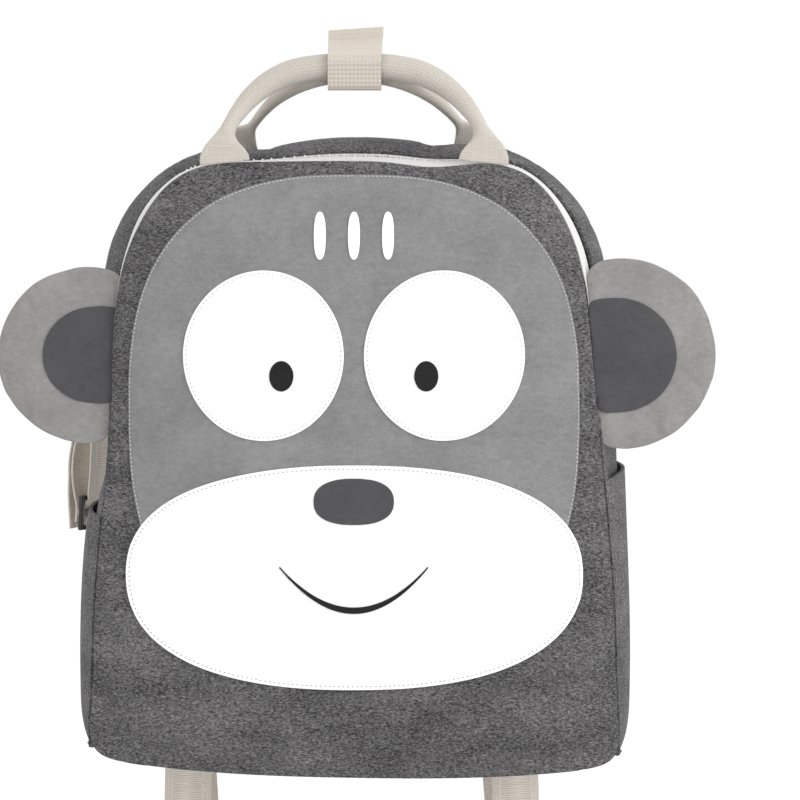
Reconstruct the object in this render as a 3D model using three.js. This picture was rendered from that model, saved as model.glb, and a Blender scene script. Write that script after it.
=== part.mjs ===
// A kids' animal backpack: a soft marl bag with a round-topped front, two-tone ears in its side seams, an
// appliqued animal face, a zip over the top, two rolled carrying handles held together by a wrap, open
// side pockets and two adjustable shoulder straps. It hangs by its handles, with the webbing of the straps
// in slack loops below the base. Millimetres, +Z up. The front of the bag faces -Y and +X is to the right
// of someone who looks at the face. The origin is the middle of the underside of the handle wrap, where a
// hook or a hand carries the bag.

import * as THREE from "three";

// Bag body
const HANG_TO_PANEL = 34.8; // from the underside of the wrap down to the top seam of the front panel
const PANEL_HEIGHT = 308;
const PANEL_WIDTH = 262;
const BACK_HEIGHT = 317;
const BACK_WIDTH = 268;
const BASE_DEPTH = 100; // between the front and back seams, at the base
const TOP_DEPTH = 70;
const BACK_Y = 42; // outer face of the back panel
const WALL = 2.4; // marl cloth with its backing
const SEAM_GAP = 0.3; // between two pieces that are sewn together
const FRONT_CROWN = 16; // how far the stuffed front stands out in its middle
const BACK_CROWN = 3;
const SIDE_BULGE = 3;
const TOP_BULGE = 3;
const CROWN_POWER = 3; // how late the crown falls off towards the seam
const FLARE_POWER = 0.55; // how early the wall flares behind the front seam
const MIDDLE_SHARE = 0.47; // height of the panels' middle, as a share of the front's height
const FRONT_RINGS = [0.35, 0.58, 0.74, 0.86, 0.95, 1];
const BACK_RINGS = [0.5, 0.85, 1];

// Zip
const ZIP_END_DROP = 118; // how far below the top seam both ends of the zip lie
const TAPE_WIDTH = 7;
const TAPE_THICKNESS = 0.8;
const TAPE_RECESS = 0.9; // the tape lies this far below the cloth beside it
const COIL_WIDTH = 4.6;
const COIL_HEIGHT = 2.2;
const SLIDER_PLAY = 1.4; // how much wider the zip's slider is than its coil
const SLIDER_LENGTH = 9;
const SLIDER_HEIGHT = 2.4;
const PULL_LENGTH = 24;
// How far the slider stands before the end of the zip, as a share of the outline.
const SLIDER_PLACE = 0.012;

// Side pockets
const POCKET_WALL = 1.8;
const POCKET_BULGE = 3;
const POCKET_MOUTH_RIGHT = 150; // height of each pocket's mouth above the base
const POCKET_MOUTH_LEFT = 131;
// Least distance between two rows of a pocket's corners, as a share of the outline.
const POCKET_STEP = 0.003;
const POCKET_FOOT = 13; // height of the pocket's lower seam above the base
const POCKET_ROUND = 0.7; // power that keeps the pocket full close to its side seams
const POCKET_FALL = 4; // power that keeps the pocket full close to its lower seam

// Ears
const EAR_RADIUS = 46;
const EAR_INNER_RADIUS = 30;
const EAR_HEIGHT = 209; // height of the ear's middle above the base
const EAR_REACH = 56; // how far the ear stands out from the side seam
const EAR_INNER_REACH = 38;
const EAR_THICKNESS = 5;
const EAR_RIM = 2; // thickness of the ear at its edge
const EAR_SETBACK = 1.2; // between the edge of the front panel and the ear
// Of the ear's root over the smooth side wall, whose cloth hangs a little slacker than that.
const EAR_SEAT = -0.2;
const EAR_SIDES = 36;
const EAR_RINGS = [0.5, 0.85, 1];

// Applique on the front
const PATCH_THICKNESS = 0.8;
const PATCH_GAP = 0.5;
const HEAD_WIDTH = 226;
const HEAD_HEIGHT = 236;
const HEAD_TOP_DROP = 7; // below the top seam
const MUZZLE_WIDTH = 228;
const MUZZLE_HEIGHT = 112;
const MUZZLE_BASE = 46; // height of the muzzle's lower edge above the base
const EYE_PATCH_WIDTH = 80;
const EYE_PATCH_HEIGHT = 84;
const EYE_SPACING = 90;
const EYE_HEIGHT = 212; // height of the eye patches' middle above the base
const EYE_INSET = 9; // how far each eye sits towards the nose from the middle of its patch
const EYE_DROP = 10; // and below it
const EYE_WIDTH = 12;
const EYE_LENGTH = 15;
const NOSE_WIDTH = 40;
const NOSE_HEIGHT = 23;
const NOSE_DROP = 18; // from the top of the muzzle to the middle of the nose
const STRIPE_WIDTH = 6;
const STRIPE_LENGTH = 24;
const STRIPE_SPACING = 17;
const STRIPE_DROP = 30; // from the top of the head to the middle of the stripes
const SMILE_WIDTH = 74;
const SMILE_DEPTH = 21;
const SMILE_LINE = 3.2;
const SMILE_DROP = 50; // from the top of the muzzle to the corners of the smile
const SMILE_POINT = 0.12; // how blunt the smile's corners are
const SMILE_STEPS = 14;
// Squareness of each outline: 2 is an ellipse, more is squarer.
const HEAD_POWER = 2.7;
const MUZZLE_POWER = 2.3;
const EYE_POWER = 2;
const NOSE_POWER = 2.4;
const WIDE_RINGS = [0.3, 0.55, 0.76, 0.9, 1];
const EYE_PATCH_RINGS = [0.55, 1];
const SMALL_RINGS = [0.6, 1];
const HEAD_SIDES = 48;
const MUZZLE_SIDES = 36;
const EYE_PATCH_SIDES = 28;
const NOSE_SIDES = 20;
const EYE_SIDES = 16;
const STRIPE_SIDES = 14;

// Webbing, handles and wrap
const WEBBING_WIDTH = 25;
const WEBBING_THICKNESS = 1.6;
const HANDLE_FOOT = 26.5; // width of the webbing where a handle is sewn on
const HANDLE_SPREAD = 130; // between the two feet of the front handle
const BACK_HANDLE_SPREAD = 122;
const HANDLE_LEAN = 1.3; // how late a handle leans towards the wrap, as a power of its eased height
const HANDLE_THICKNESS = 13.4; // of the rolled front handle
const BACK_HANDLE_HEIGHT = 9; // the back handle is pressed flatter by the wrap
const WRAP_WIDTH = 27;
const WRAP_THICKNESS = 1.8;
const WRAP_HEIGHT = 31;
const WRAP_TAB = 6; // height of the flat tab above the handles
const WRAP_CLEARANCE = 0.7; // between the wrap and the handles in it
const HANDLE_NEST = 6; // how far the front handle sinks beside the back one in the wrap
// Height of the wrap's shoulders over the front handle's middle, as a share of its size.
const WRAP_SHOULDER = 0.36;
const WRAP_NECK = 0.25; // half the gap inside the wrap's tab, as a share of the webbing

// Shoulder straps
const PAD_WIDTH = 45;
const PAD_THICKNESS = 7;
const PAD_END_THICKNESS = 0.55; // of both ends, as a share
const PAD_END_SHARE = 0.035; // how far above its ring a pad ends, as a share of the strap's drop
const PAD_TOP_SPREAD = 82; // between the middles of the two pads at the top
const PAD_TOP_DROP = 18; // below the top of the back panel
const LOOP_DROP = 60; // how far the slack webbing hangs below the base
const STRAP_BASE_RIGHT = 83; // from the middle to each webbing at the base
const STRAP_BASE_LEFT = 88;
const STRAP_BOW = 26; // how far a slack strap stands off the back panel
const RIGHT_SPLAY = 16; // how far a strap bows out sideways
const LEFT_SPLAY = 80;
const RIGHT_TURN = 10; // degrees that the webbing is turned from facing forward
const LEFT_TURN = 62;
const TURN_START = 0.04; // where a strap turns sideways and back, as shares of its drop
const TURN_END = 0.3;
const UNTURN_END = 0.72;
const RING_SHARE = 0.355; // where the ring and the slider are, as shares of the strap's drop
const SLIDER_SHARE = 0.505;
const RING_BAR = 2.6;
const SLIDER_BAR = 2.4;
const FITTING_SIDE = 3; // width of the side bars of the ring and the slider
const STRAND_BOW = 4.5; // how far the outer strand bows away from the inner one
const RING_PITCH = 10; // between the ring's two bars
const SLIDER_PITCH = 8; // between two of the slider's bars
const SEAM_UPPER = 22; // the webbing is sewn to the back panel between these heights above the base
const SEAM_LOWER = 8;
const LOOP_SHARE = 0.96; // where the slack loop turns, as a share of the strap's drop
const LOOP_ENTRY = 0.45; // and the start of the turn on its way down, as a share of the loop's drop

// Smoothness
const SAMPLES_PER_ROW = 2;
const HANDLE_SIDES = 10;
const STRAP_STEP = 14.4;

// Half outlines from the top middle round to the base middle, as shares of the half width and of the
// height.
const FRONT_ROWS = [
  { half: 0, up: 1 },
  { half: 0.267, up: 1 },
  { half: 0.489, up: 0.998 },
  { half: 0.63, up: 0.986 },
  { half: 0.733, up: 0.954 },
  { half: 0.813, up: 0.9 },
  { half: 0.87, up: 0.832 },
  { half: 0.905, up: 0.727 },
  { half: 0.927, up: 0.613 },
  { half: 0.976, up: 0.39 },
  { half: 1, up: 0.235 },
  { half: 1, up: 0.125 },
  { half: 0.991, up: 0.057 },
  { half: 0.957, up: 0.03 },
  { half: 0.85, up: 0.018 },
  { half: 0.61, up: 0.007 },
  { half: 0.31, up: 0.001 },
  { half: 0, up: 0 },
];
const BACK_ROWS = [
  { half: 0, up: 1 },
  { half: 0.284, up: 0.9965 },
  { half: 0.522, up: 0.987 },
  { half: 0.679, up: 0.965 },
  { half: 0.791, up: 0.921 },
  { half: 0.881, up: 0.871 },
  { half: 0.94, up: 0.81 },
  { half: 0.97, up: 0.711 },
  { half: 0.981, up: 0.598 },
  { half: 0.992, up: 0.368 },
  { half: 1, up: 0.212 },
  { half: 1, up: 0.11 },
  { half: 0.995, up: 0.05 },
  { half: 0.967, up: 0.026 },
  { half: 0.87, up: 0.014 },
  { half: 0.615, up: 0.006 },
  { half: 0.31, up: 0.001 },
  { half: 0, up: 0 },
];
// A handle from its foot to its middle. frontOut and backOut are shares of the half spread and up a share
// of the rise. In a flat row width is a share of the foot's width, in a rolled one of the handle's height.
const HANDLE_ROWS = [
  { flat: true, frontOut: 1, backOut: 1, up: 0, width: 1, depth: 0.14 },
  { flat: true, frontOut: 1.004, backOut: 0.99, up: 0.08, width: 0.96, depth: 0.15 },
  { flat: true, frontOut: 1.004, backOut: 0.965, up: 0.17, width: 0.78, depth: 0.2 },
  { flat: true, frontOut: 0.998, backOut: 0.925, up: 0.26, width: 0.5, depth: 0.36 },
  { flat: false, frontOut: 0.98, backOut: 0.88, up: 0.35, width: 0.66, depth: 0.56 },
  { flat: false, frontOut: 0.95, backOut: 0.83, up: 0.44, width: 0.6, depth: 0.62 },
  { flat: false, frontOut: 0.9, backOut: 0.765, up: 0.54, width: 0.68, depth: 0.7 },
  { flat: false, frontOut: 0.81, backOut: 0.665, up: 0.67, width: 0.8, depth: 0.82 },
  { flat: false, frontOut: 0.67, backOut: 0.52, up: 0.82, width: 0.92, depth: 0.93 },
  { flat: false, frontOut: 0.5, backOut: 0.37, up: 0.93, width: 1, depth: 1 },
  { flat: false, frontOut: 0.3, backOut: 0.235, up: 0.985, width: 1, depth: 1 },
  { flat: false, frontOut: 0.1, backOut: 0.09, up: 1, width: 1, depth: 1 },
];
// A strap from its top seam to the bottom of its slack loop, as shares of its drop, splay and bow. It is
// straight between the end of its pad and its slider.
const STRAP_ROWS = [
  { down: 0, out: 0, back: 0 },
  { down: 0.04, out: 0.02, back: 0.17 },
  { down: 0.1, out: 0.17, back: 0.52 },
  { down: 0.17, out: 0.5, back: 0.84 },
  { down: 0.24, out: 0.86, back: 0.97 },
  { down: 0.3, out: 1, back: 1 },
  { down: 0.36, out: 0.975, back: 0.974 },
  { down: 0.42, out: 0.95, back: 0.948 },
  { down: 0.48, out: 0.925, back: 0.922 },
  { down: 0.54, out: 0.9, back: 0.896 },
  { down: 0.62, out: 0.66, back: 0.85 },
  { down: 0.74, out: 0.3, back: 0.78 },
  { down: 0.87, out: 0.08, back: 0.7 },
  { down: LOOP_SHARE, out: 0, back: 0.62 },
];

const TOP_Z = -HANG_TO_PANEL;
const BASE_Z = TOP_Z - PANEL_HEIGHT;
const BACK_TOP_Z = BASE_Z + BACK_HEIGHT;
// The panels' rings and creases gather round this height.
const MIDDLE_Z = BASE_Z + PANEL_HEIGHT * MIDDLE_SHARE;

const CLOTH = {
  marl: new THREE.MeshStandardMaterial({ color: 0x656365, roughness: 0.95, metalness: 0 }),
  headGrey: new THREE.MeshStandardMaterial({ color: 0x929292, roughness: 0.85, metalness: 0 }),
  earGrey: new THREE.MeshStandardMaterial({ color: 0xa4a29f, roughness: 0.85, metalness: 0 }),
  darkGrey: new THREE.MeshStandardMaterial({ color: 0x5c5b5d, roughness: 0.9, metalness: 0 }),
  white: new THREE.MeshStandardMaterial({ color: 0xf7f7f6, roughness: 0.85, metalness: 0 }),
  black: new THREE.MeshStandardMaterial({ color: 0x222224, roughness: 0.8, metalness: 0 }),
  cream: new THREE.MeshStandardMaterial({ color: 0xdcd4c8, roughness: 0.9, metalness: 0 }),
  tape: new THREE.MeshStandardMaterial({ color: 0xeceae4, roughness: 0.9, metalness: 0 }),
};
const PLASTIC = {
  zip: new THREE.MeshStandardMaterial({ color: 0xe4e2dc, roughness: 0.45, metalness: 0 }),
  fitting: new THREE.MeshStandardMaterial({ color: 0x1c1c1e, roughness: 0.5, metalness: 0 }),
};
const METAL = new THREE.MeshStandardMaterial({ color: 0xb9babb, roughness: 0.3, metalness: 1 });

const group = new THREE.Group();

// Adds a closed triangle list as a named mesh, turned so that its faces point outwards.
function addMesh(name, points, faces, material) {
  let volume = 0;
  for (const [a, b, c] of faces) {
    volume += points[a].dot(new THREE.Vector3().crossVectors(points[b], points[c]));
  }
  const index = faces.flatMap(([a, b, c]) => (volume > 0 ? [a, b, c] : [a, c, b]));
  const geometry = new THREE.BufferGeometry().setFromPoints(points);
  geometry.setIndex(index);
  addGeometry(name, geometry, material);
}

function addGeometry(name, geometry, material) {
  const mesh = new THREE.Mesh(geometry, material);
  mesh.name = name;
  group.add(mesh);
}

// The two triangles of a four-cornered face.
function quad(a, b, c, d) {
  return [
    [a, b, c],
    [a, c, d],
  ];
}

// A sheet with thickness, from the grids of points on its two sides, closed along all four edges.
function addSheet(name, outer, inner, material) {
  const rows = outer.length;
  const columns = outer[0].length;
  const points = [...outer.flat(), ...inner.flat()];
  const out = (i, j) => i * columns + j;
  const back = (i, j) => rows * columns + out(i, j);
  const faces = [];
  for (let i = 0; i + 1 < rows; i++) {
    for (let j = 0; j + 1 < columns; j++) {
      faces.push(...quad(out(i, j), out(i + 1, j), out(i + 1, j + 1), out(i, j + 1)));
      faces.push(...quad(back(i, j), back(i, j + 1), back(i + 1, j + 1), back(i + 1, j)));
    }
    const last = columns - 1;
    faces.push(...quad(out(i, 0), back(i, 0), back(i + 1, 0), out(i + 1, 0)));
    faces.push(...quad(out(i, last), out(i + 1, last), back(i + 1, last), back(i, last)));
  }
  for (let j = 0; j + 1 < columns; j++) {
    const last = rows - 1;
    faces.push(...quad(out(0, j), out(0, j + 1), back(0, j + 1), back(0, j)));
    faces.push(...quad(out(last, j), back(last, j), back(last, j + 1), out(last, j + 1)));
  }
  addMesh(name, points, faces, material);
}

// A closed body lofted through rings of points, with a fan over the first ring and over the last.
function addLoft(name, rings, material, first = middleOf(rings[0]), last = middleOf(rings.at(-1))) {
  const count = rings[0].length;
  const points = [...rings.flat(), first, last];
  const faces = [];
  for (let j = 0; j < count; j++) {
    const next = (j + 1) % count;
    for (let i = 0; i + 1 < rings.length; i++) {
      const a = i * count;
      faces.push(...quad(a + j, a + count + j, a + count + next, a + next));
    }
    const end = (rings.length - 1) * count;
    faces.push([rings.length * count, j, next]);
    faces.push([rings.length * count + 1, end + next, end + j]);
  }
  addMesh(name, points, faces, material);
}

function middleOf(ring) {
  const sum = new THREE.Vector3();
  ring.forEach((point) => sum.add(point));
  return sum.divideScalar(ring.length);
}

// Numbers from 0 to 1 in even steps.
function evenShares(steps) {
  return Array.from({ length: steps + 1 }, (_, i) => i / steps);
}

function mix(a, b, share) {
  return a + (b - a) * share;
}

// The closed outline of a panel. A place on it is a number from 0 to 1: 0 at the top middle, 0.5 at the
// base middle.
function outlineCurve(rows, width, height) {
  const right = rows.map((row) => new THREE.Vector3((row.half * width) / 2, 0, BASE_Z + row.up * height));
  const left = right
    .slice(1, -1)
    .reverse()
    .map((point) => new THREE.Vector3(-point.x, 0, point.z));
  return new THREE.CatmullRomCurve3([...right, ...left], true, "centripetal");
}

const frontCurve = outlineCurve(FRONT_ROWS, PANEL_WIDTH, PANEL_HEIGHT);
const backCurve = outlineCurve(BACK_ROWS, BACK_WIDTH, BACK_HEIGHT);
const SAMPLES = (FRONT_ROWS.length - 1) * 2 * SAMPLES_PER_ROW;

// Depth of the bag between its seams at a height.
function depthAt(z) {
  return mix(TOP_DEPTH, BASE_DEPTH, (TOP_Z - z) / PANEL_HEIGHT);
}

function frontSeam(place) {
  const point = frontCurve.getPoint(place % 1);
  return point.setY(BACK_Y - depthAt(point.z));
}

function backSeam(place) {
  return backCurve.getPoint(place % 1).setY(BACK_Y);
}

// The outward direction, level with the panels, at a place on the outline.
function outward(place) {
  const step = 0.5 / SAMPLES;
  const both = (share) => frontCurve.getPoint(share % 1).add(backCurve.getPoint(share % 1));
  const before = both(place + 1 - step);
  const after = both(place + step);
  const along = after.sub(before).normalize();
  return new THREE.Vector3(-along.z, 0, along.x);
}

// A point of the bag's side wall: depth goes from 0 at the front seam to 1 at the back seam. The wall
// flares soon after the front seam, which is what shows the zip from the front.
function wallPoint(place, depth, lift) {
  const front = frontSeam(place);
  const back = backSeam(place);
  const flare = Math.pow(Math.min(Math.max(depth, 0), 1), FLARE_POWER);
  const out = outward(place);
  const bulge = SIDE_BULGE * Math.abs(out.x) + TOP_BULGE * Math.max(out.z, 0);
  const x = mix(front.x, back.x, flare);
  const z = mix(front.z, back.z, flare);
  const point = new THREE.Vector3(x, mix(front.y, back.y, depth), z);
  return point.addScaledVector(out, bulge * Math.sin(Math.PI * depth) + lift);
}

// The place on the right half of the outline whose front seam is at a height.
function placeAtHeight(z) {
  let low = 0;
  let high = 0.5;
  for (let i = 0; i < 40; i++) {
    const half = (low + high) / 2;
    if (frontCurve.getPoint(half).z > z) low = half;
    else high = half;
  }
  return (low + high) / 2;
}

// The places between two others, at the samples of the whole outline where they fall and at both ends.
function placesBetween(start, end) {
  const steps = Math.max(2, Math.round((end - start) * SAMPLES));
  return evenShares(steps).map((share) => mix(start, end, share));
}

// A strip of the side wall. from and to give the distance from the front seam at its two edges, thickness
// is measured inwards from a surface that lies lift above the wall.
function addWallStrip(name, places, from, to, depthSteps, lift, thickness, material) {
  const side = (drop) =>
    places.map((place) => {
      const depth = backSeam(place).y - frontSeam(place).y;
      return evenShares(depthSteps).map((share) => {
        const along = mix(from(depth), to(depth), share) / depth;
        return wallPoint(place, along, lift(place, along) - drop);
      });
    });
  addSheet(name, side(0), side(thickness), material);
}

// How far the stuffed front stands out at a point, from 0 at the seam to 1 in the middle.
function crownShare(edgeShare) {
  return 1 - Math.pow(edgeShare, CROWN_POWER);
}

// The panels' outlines as the corners that their meshes have.
const frontCorners = Array.from({ length: SAMPLES }, (_, i) => frontCurve.getPoint(i / SAMPLES));
const backCorners = Array.from({ length: SAMPLES }, (_, i) => backCurve.getPoint(i / SAMPLES));

// How far out a point of a panel lies, as a share of the way from the panel's middle to its edge.
function edgeShareAt(corners, x, z) {
  const angle = Math.atan2(x, z - MIDDLE_Z);
  for (let i = 0; i < SAMPLES; i++) {
    const a = corners[i];
    const b = corners[(i + 1) % SAMPLES];
    const turnA = Math.sin(Math.atan2(a.x, a.z - MIDDLE_Z) - angle);
    const turnB = Math.sin(Math.atan2(b.x, b.z - MIDDLE_Z) - angle);
    const ahead = a.x * x + (a.z - MIDDLE_Z) * (z - MIDDLE_Z) > 0;
    if (ahead && turnA <= 0 && turnB >= 0) {
      const cross = (b.z - a.z) * x - (b.x - a.x) * (z - MIDDLE_Z);
      const full = (b.z - a.z) * a.x - (b.x - a.x) * (a.z - MIDDLE_Z);
      return cross / full;
    }
  }
  return 0;
}

// The front panel's outer face at a point.
function frontY(x, z) {
  return BACK_Y - depthAt(z) - FRONT_CROWN * crownShare(edgeShareAt(frontCorners, x, z));
}

// The back panel's outer face at a share of the way to its edge, and at a point.
function backFace(share) {
  return BACK_Y + BACK_CROWN * (1 - share * share);
}

function backFaceY(x, z) {
  return backFace(edgeShareAt(backCorners, x, z));
}

// A panel as two faces over one outline: shares are its rings, faceY gives a face at a point and a share.
function addPanel(name, curve, shares, nearY, farY, material) {
  const ring = (share, faceY) =>
    Array.from({ length: SAMPLES }, (_, i) => {
      const edge = curve.getPoint(i / SAMPLES);
      const z = mix(MIDDLE_Z, edge.z, share);
      return new THREE.Vector3(edge.x * share, faceY(z, share), z);
    });
  const near = shares.map((share) => ring(share, nearY));
  const far = shares.map((share) => ring(share, farY)).reverse();
  const nearMiddle = new THREE.Vector3(0, nearY(MIDDLE_Z, 0), MIDDLE_Z);
  const farMiddle = new THREE.Vector3(0, farY(MIDDLE_Z, 0), MIDDLE_Z);
  addLoft(name, [...near, ...far], material, nearMiddle, farMiddle);
}

function addBody() {
  const frontFace = (z, share) => BACK_Y - depthAt(z) - FRONT_CROWN * crownShare(share);
  const frontLining = (z, share) => frontFace(z, share) + WALL;
  addPanel("front_panel", frontCurve, FRONT_RINGS, frontFace, frontLining, CLOTH.marl);
  const backOuter = (z, share) => backFace(share);
  const backLining = (z, share) => backFace(share) - WALL;
  addPanel("back_panel", backCurve, BACK_RINGS, backLining, backOuter, CLOTH.marl);

  // The boxing: a lower length round the base and up both sides, and an upper one behind the zip.
  const zipEnd = placeAtHeight(TOP_Z - ZIP_END_DROP);
  const cut = SEAM_GAP / 2 / PANEL_HEIGHT;
  const fromPanel = () => WALL + SEAM_GAP;
  const toPanel = (depth) => depth - WALL - SEAM_GAP;
  const flush = () => 0;
  addWallStrip("lower_gusset", boxingPlaces(), fromPanel, toPanel, 4, flush, WALL, CLOTH.marl);

  const zipPlaces = placesBetween(1 - zipEnd + cut, 1 + zipEnd - cut);
  const coilStart = WALL + 2 * SEAM_GAP + TAPE_WIDTH;
  const coilEnd = coilStart + COIL_WIDTH;
  const backTapeStart = coilEnd + SEAM_GAP;
  const rimStart = backTapeStart + TAPE_WIDTH / 2 + SEAM_GAP;
  const recessed = () => -TAPE_RECESS;
  const raised = () => COIL_HEIGHT / 2 - TAPE_RECESS;
  const tape = TAPE_THICKNESS;
  const tapeEnd = () => coilStart - SEAM_GAP;
  const backTapeEnd = () => rimStart - SEAM_GAP;
  addWallStrip("zip_tape_front", zipPlaces, fromPanel, tapeEnd, 1, recessed, tape, CLOTH.tape);
  addWallStrip("zip_coil", zipPlaces, () => coilStart, () => coilEnd, 2, raised, COIL_HEIGHT, PLASTIC.zip);
  addWallStrip("zip_tape_back", zipPlaces, () => backTapeStart, backTapeEnd, 1, recessed, tape, CLOTH.tape);
  addWallStrip("upper_gusset", zipPlaces, () => rimStart, toPanel, 3, flush, WALL, CLOTH.marl);
  addZipSlider(zipEnd - SLIDER_PLACE, (coilStart + coilEnd) / 2);
}

// The zip's slider and its pull, one plain piece that stands on the coil behind the right ear.
function addZipSlider(place, distance) {
  const bodyWidth = COIL_WIDTH + SLIDER_PLAY;
  const shape = new THREE.Shape();
  shape.moveTo(-bodyWidth / 2, SLIDER_LENGTH / 2);
  shape.lineTo(bodyWidth / 2, SLIDER_LENGTH / 2);
  shape.lineTo(bodyWidth / 2, -SLIDER_LENGTH / 3);
  shape.lineTo(bodyWidth / 3, -SLIDER_LENGTH / 2);
  shape.lineTo(bodyWidth / 3, -PULL_LENGTH);
  shape.absarc(0, -PULL_LENGTH, bodyWidth / 3, 0, -Math.PI, true);
  shape.lineTo(-bodyWidth / 3, -SLIDER_LENGTH / 2);
  shape.lineTo(-bodyWidth / 2, -SLIDER_LENGTH / 3);
  shape.closePath();
  const options = { depth: SLIDER_HEIGHT, bevelEnabled: false, curveSegments: 5 };
  const geometry = new THREE.ExtrudeGeometry(shape, options);
  const depth = backSeam(place).y - frontSeam(place).y;
  const lift = COIL_HEIGHT / 2 - TAPE_RECESS + SEAM_GAP * 3;
  const seat = wallPoint(place, distance / depth, lift);
  const out = outward(place);
  const up = new THREE.Vector3(-out.z, 0, out.x);
  const across = new THREE.Vector3().crossVectors(up, out);
  geometry.applyMatrix4(new THREE.Matrix4().makeBasis(across, up, out).setPosition(seat));
  addGeometry("zip_slider", geometry, METAL);
}

// The places at which the lower gusset has its corners.
function boxingPlaces() {
  const zipEnd = placeAtHeight(TOP_Z - ZIP_END_DROP);
  const cut = SEAM_GAP / 2 / PANEL_HEIGHT;
  return placesBetween(zipEnd + cut, 1 - zipEnd - cut);
}

// Side pockets: a sheet that stands off the boxing at its mouth and is sewn down along its other edges.
function addPocket(name, mouthHeight, mirrored) {
  const mouth = placeAtHeight(BASE_Z + mouthHeight);
  const foot = placeAtHeight(BASE_Z + POCKET_FOOT);
  const inside = (place) => place > mouth + POCKET_STEP && place < foot - POCKET_STEP;
  const between = boxingPlaces().filter(inside);
  const places = [mouth, ...between, foot].map((place) => (mirrored ? 1 - place : place));
  const sewn = 2 * SEAM_GAP + POCKET_WALL;
  const lift = (place, depth) => {
    const folded = mirrored ? 1 - place : place;
    const down = (folded - mouth) / (foot - mouth);
    const round = Math.pow(Math.max(Math.sin(Math.PI * depth), 0), POCKET_ROUND);
    return sewn + POCKET_BULGE * round * Math.cos((Math.PI / 2) * Math.pow(down, POCKET_FALL));
  };
  const frontEdge = () => WALL + POCKET_WALL;
  const backEdge = (depth) => depth - WALL - POCKET_WALL;
  addWallStrip(name, places, frontEdge, backEdge, 6, lift, POCKET_WALL, CLOTH.marl);
}

// A round ear cut off where it meets the side wall. back is how far behind the front seam its middle plane
// lies, shares are its rings, and it is rim thick at its edge and thicker by two bulges in its middle.
function addEarDisc(name, side, radius, reach, back, shares, bulge, rim, material) {
  const z = BASE_Z + EAR_HEIGHT;
  const distance = WALL + SEAM_GAP + EAR_SETBACK + EAR_THICKNESS;
  const seat = (height) => {
    const place = placeAtHeight(height);
    const depth = backSeam(place).y - frontSeam(place).y;
    return wallPoint(place, distance / depth, EAR_SEAT).x;
  };
  const root = seat(z);
  const middle = root + reach - radius;
  const centre = (root + middle + radius) / 2;
  const edge = evenShares(EAR_SIDES).slice(1).map((share) => {
    const angle = share * 2 * Math.PI;
    const x = middle + Math.cos(angle) * radius;
    const up = z + Math.sin(angle) * radius;
    if (x > seat(up)) return { x, z: up };
    let low = 0;
    let high = 1;
    for (let i = 0; i < 30; i++) {
      const half = (low + high) / 2;
      if (mix(centre, x, half) > seat(mix(z, up, half))) low = half;
      else high = half;
    }
    return { x: mix(centre, x, low), z: mix(z, up, low) };
  });
  const point = (share, p, offset) => {
    const height = mix(z, p.z, share);
    const y = BACK_Y - depthAt(height) + back + offset;
    return new THREE.Vector3(side * mix(centre, p.x, share), y, height);
  };
  const half = (share) => rim / 2 + bulge * (1 - share ** 4);
  const near = shares.map((share) => edge.map((p) => point(share, p, -half(share))));
  const far = shares.map((share) => edge.map((p) => point(share, p, half(share)))).reverse();
  const hub = { x: centre, z };
  addLoft(name, [...near, ...far], material, point(0, hub, -half(0)), point(0, hub, half(0)));
}

function addEar(label, side) {
  const back = WALL + SEAM_GAP + EAR_SETBACK + EAR_THICKNESS / 2;
  const bulge = (EAR_THICKNESS - EAR_RIM) / 2;
  addEarDisc("ear_" + label, side, EAR_RADIUS, EAR_REACH, back, EAR_RINGS, bulge, EAR_RIM, CLOTH.earGrey);
  const lining = back - EAR_THICKNESS / 2 - SEAM_GAP - PATCH_THICKNESS / 2;
  const name = "ear_inner_" + label;
  const reach = EAR_INNER_REACH;
  addEarDisc(name, side, EAR_INNER_RADIUS, reach, lining, [1], 0, PATCH_THICKNESS, CLOTH.darkGrey);
}

// An applique on the front. point gives its outline at an angle, as a distance from its middle across and
// up, and layer counts the patches under it.
function addPatch(name, middle, point, layer, sides, shares, material) {
  const lift = PATCH_GAP + layer * (PATCH_GAP + PATCH_THICKNESS);
  const ring = (share, height) =>
    Array.from({ length: sides }, (_, i) => {
      const offset = point((i / sides) * 2 * Math.PI);
      const x = middle.x + offset.x * share;
      const z = middle.z + offset.z * share;
      return new THREE.Vector3(x, frontY(x, z) - height, z);
    });
  const near = shares.map((share) => ring(share, lift + PATCH_THICKNESS));
  const far = shares.map((share) => ring(share, lift)).reverse();
  const centre = (height) => new THREE.Vector3(middle.x, frontY(middle.x, middle.z) - height, middle.z);
  addLoft(name, [...near, ...far], material, centre(lift + PATCH_THICKNESS), centre(lift));
}

// A rounded outline between an ellipse, power 2, and a rectangle, at a high power.
function roundedOutline(width, height, power) {
  const bend = (value) => Math.sign(value) * Math.pow(Math.abs(value), 2 / power);
  return (angle) => ({ x: (width / 2) * bend(Math.cos(angle)), z: (height / 2) * bend(Math.sin(angle)) });
}

// A smile as a narrow crescent.
function addSmile(middleZ) {
  const bend = (share) => -SMILE_DEPTH * (1 - (2 * share - 1) ** 2);
  const side = (height, offset) =>
    evenShares(SMILE_STEPS).map((share) => {
      const x = (share - 0.5) * SMILE_WIDTH;
      const narrow = Math.sin(Math.PI * mix(SMILE_POINT, 1 - SMILE_POINT, share));
      const z = middleZ + bend(share) + offset * narrow;
      return new THREE.Vector3(x, frontY(x, z) - height, z);
    });
  const lift = PATCH_GAP + 2 * (PATCH_GAP + PATCH_THICKNESS);
  const half = SMILE_LINE / 2;
  const outer = [side(lift + PATCH_THICKNESS, -half), side(lift + PATCH_THICKNESS, half)];
  addSheet("smile", outer, [side(lift, -half), side(lift, half)], CLOTH.black);
}

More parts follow.
